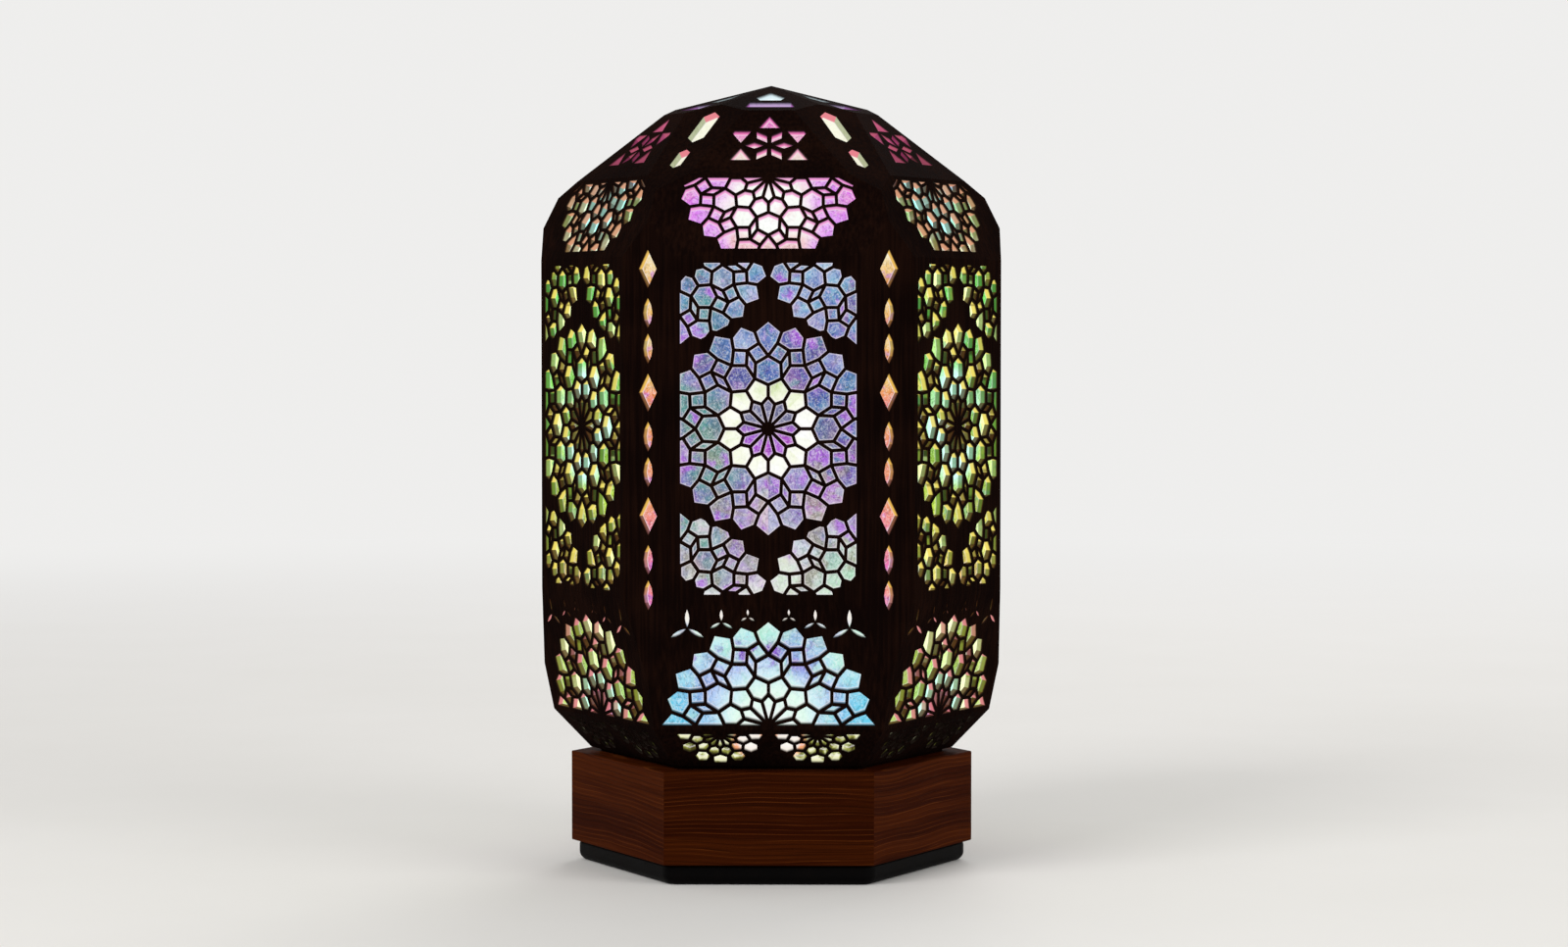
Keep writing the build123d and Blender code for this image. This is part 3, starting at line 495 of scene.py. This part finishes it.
def two_ways(node, front, side):
    """One finish for the front and back films of a node, one for those of the other four sides."""
    lay_film(node, film(f"{node}_front", front), film(f"{node}_side", side, **SIDE_FILM))


two_ways("main_films", main_front, main_side)

# %% [markdown]
# ### Film of the upper panels
# The light source sits right behind these, so at the front the middle is white hot and the violet only
# shows further out. The sides are salmon and green, and cyan near the top. Rings could have colours of
# their own here too, but the distance from one hot spot is enough.

# %% Upper panels at the front and back
upper_low, upper_high = (corner.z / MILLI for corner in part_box("upper_panel_1"))
HOT_SPOT, GLOW_REACH = upper_low + 0.52 * (upper_high - upper_low), 46


def upper_front(place):
    """White hot in the middle, violet further out."""
    across, up = panel_place(place, "front")
    away = from_middle(across, up, HOT_SPOT)
    drift = noise(place, 60.0) * 14 - 7
    base = ramp(
        (away + drift) / GLOW_REACH,
        (0.0, WHITE),
        (0.32, paint(250, 255, 246)),
        (0.42, paint(248, 226, 244)),
        (0.52, paint(232, 164, 242)),
        (0.66, paint(218, 138, 240)),
        (0.84, paint(226, 112, 232)),
    )
    salmon = between(up, upper_low + 13, upper_low + 7) * between(across.math("ABSOLUTE"), 20.0, 14.0)
    salmon = salmon * between(away, 9.0, 14.0) + between(noise(place, 80.0), 0.58, 0.68) * 0.4
    return blend(salmon * 0.75, base, paint(236, 176, 180))


print(f"hot spot: {HOT_SPOT:.1f} mm up")

# %% Upper panels at the sides
def upper_side(place):
    """Salmon below, then green, and cyan near the top."""
    across, up = panel_place(place, "side")
    away = from_middle(across, up, upper_high - 10)
    drift = noise(place, 70.0) * 0.8 - 0.4
    base = ramp(
        share_up(up, upper_low, upper_high) + drift * 0.8,
        (0.0, paint(196, 130, 104)),
        (0.3, paint(160, 196, 112)),
        (0.7, paint(140, 196, 126)),
        (1.0, paint(84, 130, 186)),
    )
    # Painted highlight: pale white-green patches
    base = blend(between(noise(place, 85.0), 0.48, 0.6) * 0.85, base, paint(236, 250, 206))
    return blend(between(away + drift * 20, 26.0, 12.0), base, paint(160, 250, 240))


two_ways("upper_films", upper_front, upper_side)

# %% [markdown]
# ### Film of the lower panels
# Cyan at the outer corners, violet in the upper ring, and a pale green white round the middle of the
# half rosette. The small three-blade openings above it are almost white at the front and dark at the
# sides, where the half rosette has a magenta heart in yellow-green. The panel leans, so heights are
# stretched a little before a distance is taken. Turned coordinates would do it too, with more nodes.

# %% Lower panels at the front and back
lower_low, lower_high = (corner.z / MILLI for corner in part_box("lower_panel_1"))
LOWER_MIDDLE, LOWER_SLOPE, LOWER_REACH = lower_low + 2, 1.016, 52
BLADES = (lower_high - 12, lower_high - 8)


def lower_rosette(across, up):
    """Shares and random number of the half rosette."""
    return rosette(across, (up - LOWER_MIDDLE) * LOWER_SLOPE)


def lower_front(place):
    """Pale round the middle, then blue and violet, and cyan at the outer corners."""
    across, up = panel_place(place, "front")
    away = from_middle(across, up, LOWER_MIDDLE, LOWER_SLOPE)
    within = noise(place, 150.0, detail=2) - 0.5
    random = lower_rosette(across, up)[3]
    drift = noise(place, 45.0) * 0.8 - 0.4 + within * 0.5
    base = ramp(
        away / LOWER_REACH + drift * 0.22,
        (0.0, paint(240, 248, 250)),
        (0.30, paint(224, 253, 238)),
        (0.42, paint(206, 240, 246)),
        (0.60, paint(170, 192, 246)),
        (0.80, paint(184, 234, 244)),
        (1.0, paint(224, 246, 240)),
    )
    further_out, tone = between(away, 22.0, 27.0), random + within
    base = blend(between(tone, 0.55, 1.0) * further_out * 0.7, base, paint(182, 240, 212))
    base = blend(between(tone, 0.4, 0.0) * further_out * 0.5, base, paint(112, 134, 206))
    violet = between(up, lower_low + 24, lower_low + 32) * between(up, lower_low + 42, lower_low + 36)
    base = blend(violet * between(noise(place, 95.0), 0.48, 0.6), base, paint(134, 88, 208))
    outer = between(across.math("ABSOLUTE") - (up - lower_low) * 0.6, 12.0, 40.0)
    base = blend(outer * 0.9, base, paint(84, 202, 238))
    green = between(noise(place, 58.0, twist=1.0), 0.55, 0.66)
    base = blend(green * 0.5, base, paint(176, 232, 208))
    return blend(between(up, *BLADES), base, paint(246, 242, 228))


print(f"half rosette: {LOWER_MIDDLE:.1f} mm up")

# %% Lower panels at the sides
def lower_side(place):
    """Yellow-green round a magenta heart."""
    across, up = panel_place(place, "side")
    away = from_middle(across, up, LOWER_MIDDLE, LOWER_SLOPE)
    kites, ring, small, random = lower_rosette(across, up)
    drift = noise(place, 80.0) * 0.9 - 0.45
    base = ramp(
        away / LOWER_REACH + drift * 0.3,
        (0.0, paint(150, 52, 136)),
        (0.36, paint(160, 220, 124)),
        (0.6, paint(166, 198, 78)),
        (1.0, paint(150, 180, 68)),
    )
    base = blend(between(random, 0.5, 0.1) * 0.4, base, paint(98, 112, 40))
    # Painted highlight: some openings turn near white
    base = blend(between(random, 0.4, 0.8) * 0.85, base, paint(242, 255, 190))
    base = blend(ring * 0.85, base, paint(186, 250, 226))
    heart = ramp(
        random,
        (0.3, paint(132, 30, 116)),
        (0.6, paint(170, 64, 160)),
        (0.8, paint(166, 170, 60)),
    )
    base = blend(small * 0.6, blend(kites, base, heart), IN_SHADOW)
    return blend(between(up, *BLADES), base, IN_SHADOW)


two_ways("lower_films", lower_front, lower_side)

# %% [markdown]
# ### Film of the crown, the strips, the cap and the skirt
# These are small fields, so one drift of colour from foot to head is enough. The diamonds of the corner
# strips repeat theirs in each opening. Every opening could have a film of its own, but the fraction of a
# height gives the same with one. The skirt has two warm glints at the front.

# %% Crown
def rising(low, high, wander, *stops):
    """Colours from a foot to a head, with a random drift."""

    def colours(place):
        up = xyz(place)[2] / MILLI
        drift = noise(place, 60.0) - 0.5
        return ramp(share_up(up, low, high) + drift * wander, *stops)

    return colours


def rise_of(node):
    """Lowest and highest point of a node, in millimetres."""
    return [corner.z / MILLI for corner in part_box(node)]


CREAM, MAROON = paint(242, 238, 210), paint(74, 20, 44)
crown_rise = rise_of("crown_panel_1")
CROWN_FRONT = (0.1, CREAM), (0.45, paint(238, 196, 206)), (0.7, paint(228, 120, 196))
CROWN_SIDE = (0.2, MAROON), (0.5, paint(146, 50, 98)), (0.85, paint(224, 108, 158))
crown_front, crown_side = rising(*crown_rise, 0.5, *CROWN_FRONT), rising(*crown_rise, 1.2, *CROWN_SIDE)
two_ways("crown_films", crown_front, crown_side)

# %% Diamonds of the corner strips
strip_rise = rise_of("corner_strips")
FIRST_DIAMOND, DIAMOND_PITCH, SPINDLE_PITCH = 69.9, 19.3, 15.6
STRIP_REPEAT = 2 * DIAMOND_PITCH + SPINDLE_PITCH
DIAMONDS = (
    (0.0, paint(216, 84, 212)),
    (0.22, paint(232, 116, 196)),
    (0.40, paint(240, 132, 132)),
    (0.56, paint(238, 148, 88)),
    (0.74, paint(240, 194, 110)),
    (1.0, paint(248, 240, 196)),
)


def diamonds(place):
    """From gold at the head of each opening to rose at its foot, and paler openings higher up."""
    up = xyz(place)[2] / MILLI
    drop = (MAIN_MIDDLE + FIRST_DIAMOND + DIAMOND_PITCH / 2 - up) / STRIP_REPEAT
    drop = drop.math("FRACT") * STRIP_REPEAT
    spindle = drop.math("GREATER_THAN", DIAMOND_PITCH)
    half_rest = (STRIP_REPEAT - DIAMOND_PITCH) / 2
    length = DIAMOND_PITCH + (half_rest - DIAMOND_PITCH) * spindle
    in_turn = 1 - (drop / length - spindle * (DIAMOND_PITCH / half_rest)).math("FRACT")
    drift = noise(place, 90.0) - 0.5
    base = ramp(share_up(up, *strip_rise) * 0.6 + in_turn * 0.45 + drift * 0.5, *DIAMONDS)
    violet = between(noise(place, 190.0, detail=2), 0.54, 0.64) * between(in_turn, 0.75, 0.5)
    return blend(violet * 0.6, base, paint(196, 112, 222))


print("diamonds repeat every", STRIP_REPEAT, "mm")

# %% Skirt
skirt_rise = rise_of("skirt_panels")
GLINT_ACROSS, GLINT_DROP = 8.5, 7.0


def skirt_glow(place):
    """Yellow-green, with two warm glints beside the middle."""
    across, up = panel_place(place, "front")
    glint = from_middle(across.math("ABSOLUTE") - GLINT_ACROSS, up, skirt_rise[1] - GLINT_DROP)
    base = ramp(
        noise(place, 170.0, detail=2),
        (0.40, paint(70, 74, 26)),
        (0.51, paint(166, 174, 84)),
        (0.59, paint(246, 250, 206)),
    )
    base = blend(between(glint, 9.0, 6.5), base, paint(255, 176, 128))
    return blend(between(glint, 6.5, 4.5), base, paint(255, 250, 240))


print("glints:", GLINT_ACROSS, "mm from the middle")

# %% Small films
CROWN_STRIP = (0.2, CREAM), (0.8, paint(248, 250, 226))
CAP = (0.3, paint(176, 104, 190)), (0.42, paint(186, 150, 214)), (0.52, paint(216, 240, 246))
single = {
    "corner_films": diamonds,
    "crown_strip_films": rising(*rise_of("crown_strips"), 0.3, *CROWN_STRIP),
    "cap_films": rising(*rise_of("cap_facets"), 0.12, *CAP),
    "skirt_films": skirt_glow,
}
for name, colours in single.items():
    lay_film(name, film(f"{name}_glow", colours))
print("films of one colour drift:", ", ".join(single))

# %% [markdown]
# ## Walls of the openings
# The saw leaves a burnt edge, dark at the outer face, where painted shade also darkens the glow.
# Further in, the wall catches the light that comes through the film, so at a slant the openings look
# like cut stones: the wall that looks down is warm with painted light, the upright ones take the colour
# of the film, darker on the sides as painted shade, and painted shade keeps the sill dim. Cycles could
# work this light out from the films, but far too faintly beside studio light, so the walls glow a
# little by themselves. How deep a point lies in the panel comes from its distance to the outer face,
# folded over the six sides.

# %% How deep in the panel
def outer_face(node):
    """Distance of a facet's outer face from the origin, and its lean."""
    mesh = nodes[node].data
    normal = outer_normals(mesh)[0]
    return max(corner.co.dot(normal) for corner in mesh.vertices), normal.z


def depth_in(place, node, at_corner=False):
    """Millimetres behind the outer face."""
    reach, lean = outer_face(node)
    x, y, z = xyz(place)
    x, y = x.math("ABSOLUTE"), y.math("ABSOLUTE")
    if at_corner:
        x, y = y, x
    out = y.math("MAXIMUM", x * sin(radians(SECTOR)) + y * cos(radians(SECTOR)))
    return (reach - (out * (1 - lean * lean) ** 0.5 + z * lean)) / MILLI


print("main facet:", outer_face("main_panel_1"))

# %% Openings that lie in shadow at the sides
def main_small(place):
    """Share of the openings that lie in shadow on the sides."""
    kites, _, small, _ = main_rosettes(*panel_place(place, "side"))
    return small.math("MAXIMUM", kites * 1.2)


def lower_small(place):
    """Share of the openings that lie in shadow on the sides."""
    across, up = panel_place(place, "side")
    return lower_rosette(across, up)[2].math("MAXIMUM", between(up, *BLADES) * 1.5)


print("shadow masks ready")

# %% Burnt edge, painted shade and borrowed light
# Burnt and sawn are the wall's own colours; the third is painted light, a dim warm glow on barely lit
# upright walls
BURNT, SAWN, DIM_WALL_GLOW = paint(22, 12, 8), paint(92, 58, 34), paint(120, 66, 34)
SAWN_RELIEF = 0.00004
# Depth of painted shade behind the outer face, how far in the painted light grows to full, and the share
# a sill keeps
EDGE_DARK, EDGE_LIT, SIDE_LIT, SILL = 0.7, 1.9, 1.1, 0.4
# Where the wall meets the film it gets a painted highlight: its depth, and its share on plain walls and
# on walls with an upright colour
FOOT_DEPTH, FOOT_HIGHLIGHT, SIDE_FOOT_HIGHLIGHT = (2.3, 3.0), 0.35, 0.15


def wall(
    name, node, colours, head, upright=None, small=None,
    dark=EDGE_DARK, lit_in=EDGE_LIT, sill=SILL, at_corner=False,
):
    """Wall of an opening: head is its painted light where it looks down, upright its painted shade where
    it stands.

    It is painted dark down to a depth, and fully lit by lit_in further in; sill is the share of that
    light a sill keeps. Small is the share in painted shadow."""
    material, shader, place = finish(name, Specular_IOR_Level=0.1, Emission_Strength=GLOW)
    deep = depth_in(place, node, at_corner)
    fibres = noise(place, 900.0, detail=4)
    # Painted shade down to the depth dark, painted light further in
    lit = between(deep + fibres * 0.4, dark, dark + lit_in)
    looks_up = xyz(place.node("ShaderNodeNewGeometry", {}, output="True Normal"))[2]
    hue = colours(place)
    # Painted shade: upright walls take a darker colour
    if upright:
        hue = blend(0.35 + 0.5 * fibres, hue, upright)
    # Painted light: the wall that looks down takes the head colour
    hue = blend(between(looks_up, -0.12, -0.5) * 0.85, hue, head)
    if small:
        hue = blend(small(place) * 0.6, hue, IN_SHADOW)
    # Painted highlight where the wall meets the film
    hue = blend(between(deep, *FOOT_DEPTH) * (SIDE_FOOT_HIGHLIGHT if upright else FOOT_HIGHLIGHT), hue, WHITE)
    # Painted shade on the sill, which keeps only the share sill of the light
    lit_here = lit * (1 - (1 - sill) * between(looks_up, 0.1, 0.6))
    # Where an upright wall is barely lit, its painted glow turns a dim warm brown
    if upright:
        hue = blend(between(lit_here, 0.1, 0.7), DIM_WALL_GLOW, hue)
    hue = blend(lit_here, BLACK, hue)
    # The glow is painted light; the base colour is burnt near the outer face and sawn wood further in, by
    # the same mask
    feed(shader, Emission_Color=hue, Base_Color=blend(lit * fibres, BURNT, SAWN))
    feed(shader, Roughness=0.6 + 0.25 * fibres)
    bumped(shader, fibres, SAWN_RELIEF)
    return material


# The burnt edge and the painted shade reach the same depth
print("burnt edge:", EDGE_DARK, "mm")

# %% Walls told from faces
SQUARE = 0.08


def facet_faces(mesh):
    """Index 1 for the walls of the openings, which stand square to their facet, and 0 for the rest."""
    normals = outer_normals(mesh)
    own = [max(normals, key=polygon.center.dot) for polygon in mesh.polygons]
    return [1 if abs(p.normal.dot(n)) < SQUARE else 0 for p, n in zip(mesh.polygons, own)]


def line_walls(node, front, side=None):
    """Sets the wall finish on a node's openings, or one for front and back and one for the sides."""
    mesh = nodes[node].data
    mesh.materials.append(front)
    kinds = facet_faces(mesh)
    if side:
        mesh.materials.append(side)
        kinds = [kind if kind == 0 or faces_front(p) else 2 for p, kind in zip(mesh.polygons, kinds)]
    mesh.polygons.foreach_set("material_index", kinds)
    mesh.update()


print("wall faces of a tall panel:", sum(facet_faces(nodes["main_panel_1"].data)))

# %% Walls of the panels
# Head colours are painted light on walls that look down; the dark upright colours on the sides are
# painted shade
GOLD, SALMON, ROSE = paint(250, 230, 110), paint(222, 156, 122), paint(226, 130, 142)
LAVENDER, FROST, PINK = paint(206, 196, 236), paint(226, 234, 246), paint(234, 150, 206)
BAND_WALLS = {
    "main": ((main_front, LAVENDER), (main_side, GOLD, paint(36, 108, 44), main_small)),
    "upper": ((upper_front, PINK), (upper_side, SALMON, paint(92, 66, 36))),
    "lower": ((lower_front, FROST), (lower_side, ROSE, paint(104, 108, 34), lower_small)),
    "crown": ((crown_front, paint(232, 112, 180)), (crown_side, paint(176, 82, 108))),
}
# Depth of painted shade on the walls, at the front and at the sides
EDGES = {"main": (0.7, 0.5), "upper": (-0.3, 0.5), "lower": (0.5, 0.5), "crown": (0.7, 0.0)}
FRONT_AND_BACK = (1, 4)
for band, ways in BAND_WALLS.items():
    front, side = (
        wall(f"{band}_wall_{facing}", f"{band}_panel_1", *way, dark=dark, lit_in=lit_in)
        for facing, way, dark, lit_in in zip(("front", "side"), ways, EDGES[band], (EDGE_LIT, SIDE_LIT))
    )
    for k in range(1, SIDES + 1):
        line_walls(f"{band}_panel_{k}", front if k in FRONT_AND_BACK else side)
    print(band, "walls:", front.name, side.name)

# %% Walls of the strips, the cap and the skirt
# Olive and leaf are painted shade on the upright walls of the strips; the heads are painted light
OLIVE, LEAF = paint(112, 116, 52), paint(64, 116, 40)
STRIP_WALLS = {
    "corner_strips": dict(head=paint(236, 190, 84), upright=OLIVE, dark=-0.2, at_corner=True),
    "crown_strips": dict(head=paint(236, 112, 140), upright=LEAF, dark=-1.2, at_corner=True),
    "cap_facets": dict(head=paint(206, 226, 240), dark=0.3),
}
STRIP_FILMS = dict(zip(STRIPS, single.values()))
for node, look in STRIP_WALLS.items():
    line_walls(node, wall(f"{node}_wall", node, STRIP_FILMS[node], **look))
# The sides of the skirt keep more painted shade than its front
skirt_front, skirt_side = (
    wall(f"skirt_wall_{facing}", "skirt_panels", skirt_glow, paint(236, 236, 170), dark=dark, sill=sill)
    for facing, dark, sill in (("front", 0.2, 0.9), ("side", 1.4, 0.5))
)
line_walls("skirt_panels", skirt_front, skirt_side)
print("walls:", sum(p.material_index > 0 for name in panels for p in nodes[name].data.polygons), "faces")

# %% [markdown]
# ## Base boards
# The base is six boards of a red-brown hardwood. The grain runs along each board as fine, slightly wavy
# dark lines. A picture of a plank would have to be fitted to each board. Stretched noise, and growth
# rings that a slow wave bends, follow the board by themselves: one finish per board turns the grain with
# it, and a seed keeps two boards from being alike. The front board and the back one are darker, which is
# painted shade.

# %% Red-brown hardwood
WOOD_LIGHT, WOOD_DARK = paint(66, 25, 3), paint(47, 13, 1)
WOOD_LINE, WOOD_PALE = paint(23, 5, 1), paint(108, 54, 18)
# Painted shade per board, heaviest on the front and the back one
BOARD_SHADE = (0.35, 0.0, 0.1, 0.3, 0.05, 0.0)
RING_GAP, WOOD_RELIEF = 0.0022, 0.00012
FRONT_TURN = -90


def outward(turn):
    """Level direction out of a flat, counted in sectors from the front."""
    angle = radians(FRONT_TURN + turn * SECTOR)
    return Vector((cos(angle), sin(angle), 0))


def hardwood(turn):
    """Hardwood with the grain along one board."""
    material, shader, place = finish(f"hardwood_{turn + 1}", Specular_IOR_Level=0.012)
    away = outward(turn)
    along, depth = (
        place.node("ShaderNodeVectorMath", {0: place, 1: way}, 1, operation="DOT_PRODUCT")
        for way in (Vector((-away.y, away.x, 0)), away)
    )
    up = xyz(place)[2]
    wave = noise(joined(along * 9, depth * 30, up * 16 + turn * 7.3), 1.0, detail=2)
    level = up + wave * 0.012 + depth * 0.2
    fibre = noise(joined(along * 26, depth * 500, level * 1800 + turn * 31), 1.0, detail=4, rough=0.6)
    tone = noise(joined(along * 5, depth * 20, level * 130 + turn * 5), 1.0, detail=3)
    ring = (level / RING_GAP + tone * 1.6).math("PINGPONG", 0.5)
    fades = noise(joined(along * 14, depth * 40, level * 260 + turn * 3), 1.0)
    wood = blend(between(tone, 0.36, 0.64), WOOD_DARK, WOOD_LIGHT)
    # Painted shade of the board, with dark fibre lines on top
    wood = blend(BOARD_SHADE[turn] + between(fibre, 0.52, 0.74) * 0.5, wood, WOOD_LINE)
    late = between(ring, 0.36, 0.5) * between(fades, 0.4, 0.6)
    wood = blend(late * 0.6, wood, WOOD_LINE)
    early = between(ring, 0.08, 0.0) * between(fades, 0.58, 0.42) + between(fibre, 0.38, 0.26) * 0.4
    wood = blend(early * 0.6, wood, WOOD_PALE)
    feed(shader, Base_Color=wood, Roughness=0.5 + 0.2 * fibre)
    bumped(shader, fibre * 0.6 - late * 0.5, WOOD_RELIEF)
    return material


for turn in range(SIDES):
    wear([f"base_board_{turn + 1}"], hardwood(turn))
print("boards:", SIDES)

# %% [markdown]
# ## Foot and inner wood
# The foot is painted black with a soft sheen. The floor ring of the shade shows as a thin dark line
# above the base, so it has the stain of the facets. Deck, locating ring and corner blocks are bare birch
# plywood that only shows when the shade is lifted off. One flat colour would do from afar. A fine relief
# and a little dust make it paint, and streaks and layers make it plywood.

# %% Black paint
PAINT_RELIEF = 0.00004
foot_paint, shader, place = finish("black_foot_paint", Specular_IOR_Level=0.03)
orange_peel = noise(place, 700.0, detail=2)
dust = noise(place, 60.0, detail=5)
feed(shader, Base_Color=blend(between(dust, 0.4, 0.8), paint(4, 3, 3), paint(9, 6, 5)))
feed(shader, Roughness=0.4 + 0.2 * dust)
bumped(shader, orange_peel, PAINT_RELIEF)
wear(["foot"], foot_paint)
print("foot:", foot_paint.name)

# %% Birch plywood
BIRCH_RELIEF = 0.00008
birch, shader, place = finish("bare_birch_ply", IOR=1.45)
x, y, z = xyz(place)
streak = noise(joined(x * 40, y * 700, z * 300), 1.0, detail=5)
layer = (z / MILLI).math("PINGPONG", 1.0)
tone = between(streak * 0.8 + layer * 0.25, 0.3, 0.8)
feed(shader, Base_Color=blend(tone, paint(176, 132, 88), paint(216, 180, 134)))
feed(shader, Roughness=0.55 + 0.2 * streak)
bumped(shader, streak, BIRCH_RELIEF)
wear(["deck", "locating_ring", "corner_blocks"], birch)
wear(["floor_ring"], stain)
print("inner wood:", birch.name)

# %% [markdown]
# ## Metal, ceramic, glass and plastic
# The small parts are what one finds in any lamp: a zinc-plated stem and screws, brass nuts, a ceramic
# holder, a clear capsule over the light source, and a black switch and inlet. Each could have a net of
# its own, but metals differ only in colour and brushing, and plastics in colour, grain and gloss, so one
# function makes all of a kind.

# %% Metals
METAL_RELIEF = 0.00002


def metal(name, bright, dull, brush):
    """Brushed metal with duller patches."""
    material, shader, place = finish(name, Metallic=1.0)
    x, y, z = xyz(place)
    lines = noise(joined(x * 60, y * 60, z * brush), 1.0, detail=4)
    stains = noise(place, 90.0)
    feed(shader, Base_Color=blend(between(stains, 0.3, 0.75), bright, dull))
    feed(shader, Roughness=0.22 + 0.25 * lines)
    bumped(shader, lines, METAL_RELIEF)
    return material


zinc = metal("zinc_plate", paint(205, 206, 208), paint(168, 170, 176), 900)
brass = metal("satin_brass", paint(214, 178, 104), paint(178, 138, 74), 700)
wear(["stem", "foot_screws", "lamp_pins"], zinc)
wear(["stem_fasteners", "dc_inlet_nut"], brass)
print("metals:", zinc.name, brass.name)

# %% Ceramic, glass and light source
ceramic, shader, place = finish("glazed_ceramic", Coat_Roughness=0.1, IOR=1.5)
speck = noise(place, 240.0, detail=5)
feed(shader, Base_Color=blend(between(speck, 0.5, 0.75), paint(236, 232, 222), paint(214, 206, 190)))
feed(shader, Roughness=0.25 + 0.2 * speck, Coat_Weight=0.6 - 0.3 * speck)
wear(["lamp_holder", "lamp_base"], ceramic)

clear, shader, place = finish("clear_capsule", Transmission_Weight=1.0, IOR=1.46)
smear = noise(place, 160.0)
feed(shader, Roughness=0.02 + 0.06 * smear, Base_Color=blend(smear, (1, 1, 1), (0.93, 0.95, 0.96)))
wear(["lamp_capsule"], clear)

LAMP_GLOW = 6.0
emitter, shader, place = finish("warm_emitter", Roughness=0.5, Emission_Strength=LAMP_GLOW)
dots = place.node("ShaderNodeTexVoronoi", {"Vector": place, "Scale": 420.0}, feature="F1")
feed(shader, Emission_Color=blend(between(dots, 0.2, 0.5), (1.0, 0.93, 0.78), (0.75, 0.6, 0.32)))
feed(shader, Base_Color=blend(between(dots, 0.2, 0.5), (0.9, 0.85, 0.6), (0.6, 0.5, 0.2)))
wear(["emitter_core"], emitter)
print("light source:", ceramic.name, clear.name, emitter.name)

# %% Plastic and wire
PLASTIC_RELIEF = 0.00003


def moulded(name, dark, pale, rough, grain):
    """Plastic or rubber with a fine grain."""
    material, shader, place = finish(name, Specular_IOR_Level=0.22)
    spark = noise(place, grain, detail=3)
    cloud = noise(place, 70.0)
    feed(shader, Base_Color=blend(between(cloud, 0.35, 0.7), dark, pale), Roughness=rough + 0.2 * spark)
    bumped(shader, spark, PLASTIC_RELIEF)
    return material


matt = moulded("matt_black_plastic", paint(16, 16, 17), paint(28, 28, 30), 0.45, 1300)
satin = moulded("satin_rocker", paint(20, 20, 22), paint(34, 34, 36), 0.22, 900)
sleeve = moulded("wire_sleeve", paint(34, 34, 38), paint(58, 58, 62), 0.4, 600)
wear(["switch_housing", "dc_inlet"], matt)
wear(["switch_rocker"], satin)
wear(["lead_wires"], sleeve)
print("plastics:", matt.name, satin.name, sleeve.name)

# %% [markdown]
# ## Floor, light and camera
# The floor is one large pale disc. The world gives soft light from everywhere, and three broad lights
# shape the facets. The background is plain and pale, for the camera and for what glass and metal mirror.
# A curved backdrop would do too, but it is in the way of views from behind. So the floor keeps the
# shadow near the lamp and fades into the background further off.

# %% Floor
FLOOR_RADIUS = 14.0
bpy.ops.mesh.primitive_circle_add(vertices=96, radius=FLOOR_RADIUS, fill_type="NGON")
floor = bpy.context.object
floor.name = "floor"
BACKGROUND = (0.86, 0.855, 0.845)
FADE_START, FADE_END = 0.45, 2.6
floor_paint, shader, place = finish("pale_floor", Roughness=0.75, Specular_IOR_Level=0.2)
mottle = noise(place, 6.0, detail=4)
feed(shader, Base_Color=blend(mottle, paint(226, 224, 220), paint(232, 230, 227)))
net = floor_paint.node_tree
plain = place.node("ShaderNodeEmission", {"Color": (*BACKGROUND, 1), "Strength": 1.0})
seen = Sock(net.nodes.new("ShaderNodeLightPath").outputs["Is Camera Ray"])
far = place.node("ShaderNodeVectorMath", {0: place}, 1, operation="LENGTH")
share = between(far, FADE_START, FADE_END) * seen
surface = place.node("ShaderNodeMixShader", {0: share, 1: Sock(shader.outputs[0]), 2: plain})
net.links.new(surface.socket, net.nodes["Material Output"].inputs["Surface"])
floor.data.materials.append(floor_paint)
print("floor", FLOOR_RADIUS)

# %% Light
scene = bpy.context.scene
scene.view_settings.view_transform = "Standard"
world = bpy.data.worlds.new("studio")
scene.world = world
world.use_nodes = True
sky = world.node_tree.nodes["Background"]
ray = world.node_tree.nodes.new("ShaderNodeLightPath")
seen = Sock(ray.outputs["Is Camera Ray"]).math("MAXIMUM", Sock(ray.outputs["Is Glossy Ray"]))
seen = seen.math("MAXIMUM", Sock(ray.outputs["Is Transmission Ray"]))
SOFT_LIGHT = 0.55
sky.inputs["Color"].default_value = (*BACKGROUND, 1)
world.node_tree.links.new((SOFT_LIGHT + (1 - SOFT_LIGHT) * seen).socket, sky.inputs["Strength"])


def lamp(name, place, aim, size, power):
    """Broad light that looks at a point."""
    data = bpy.data.lights.new(name, "AREA")
    data.energy, data.size = power, size
    made = bpy.data.objects.new(name, data)
    made.location = place
    made.rotation_mode = "QUATERNION"
    made.rotation_quaternion = (Vector(aim) - Vector(place)).to_track_quat("-Z", "Y")
    scene.collection.objects.link(made)


MIDDLE = (0, 0, 0.18)
lamp("key", (-1.5, -1.7, 1.7), MIDDLE, 1.2, 34)
lamp("fill", (1.8, -1.4, 1.1), MIDDLE, 1.4, 20)
lamp("back", (0.6, 2.0, 1.9), MIDDLE, 1.4, 22)
print("lights:", ", ".join(light.name for light in bpy.data.lights))

# %% Camera
CAMERA_PLACE = Vector((0.0233, -1.6151, 0.2440))
CAMERA_WAY = Vector((-0.0108, 0.9992, -0.0394))
SENSOR, LENS = 36.0, 79.74
camera = bpy.data.objects.new("camera", bpy.data.cameras.new("camera"))
camera.data.sensor_width, camera.data.lens = SENSOR, LENS
camera.location = CAMERA_PLACE
camera.rotation_mode = "QUATERNION"
camera.rotation_quaternion = CAMERA_WAY.to_track_quat("-Z", "Y")
scene.collection.objects.link(camera)
scene.camera = camera
print("camera", tuple(camera.location))
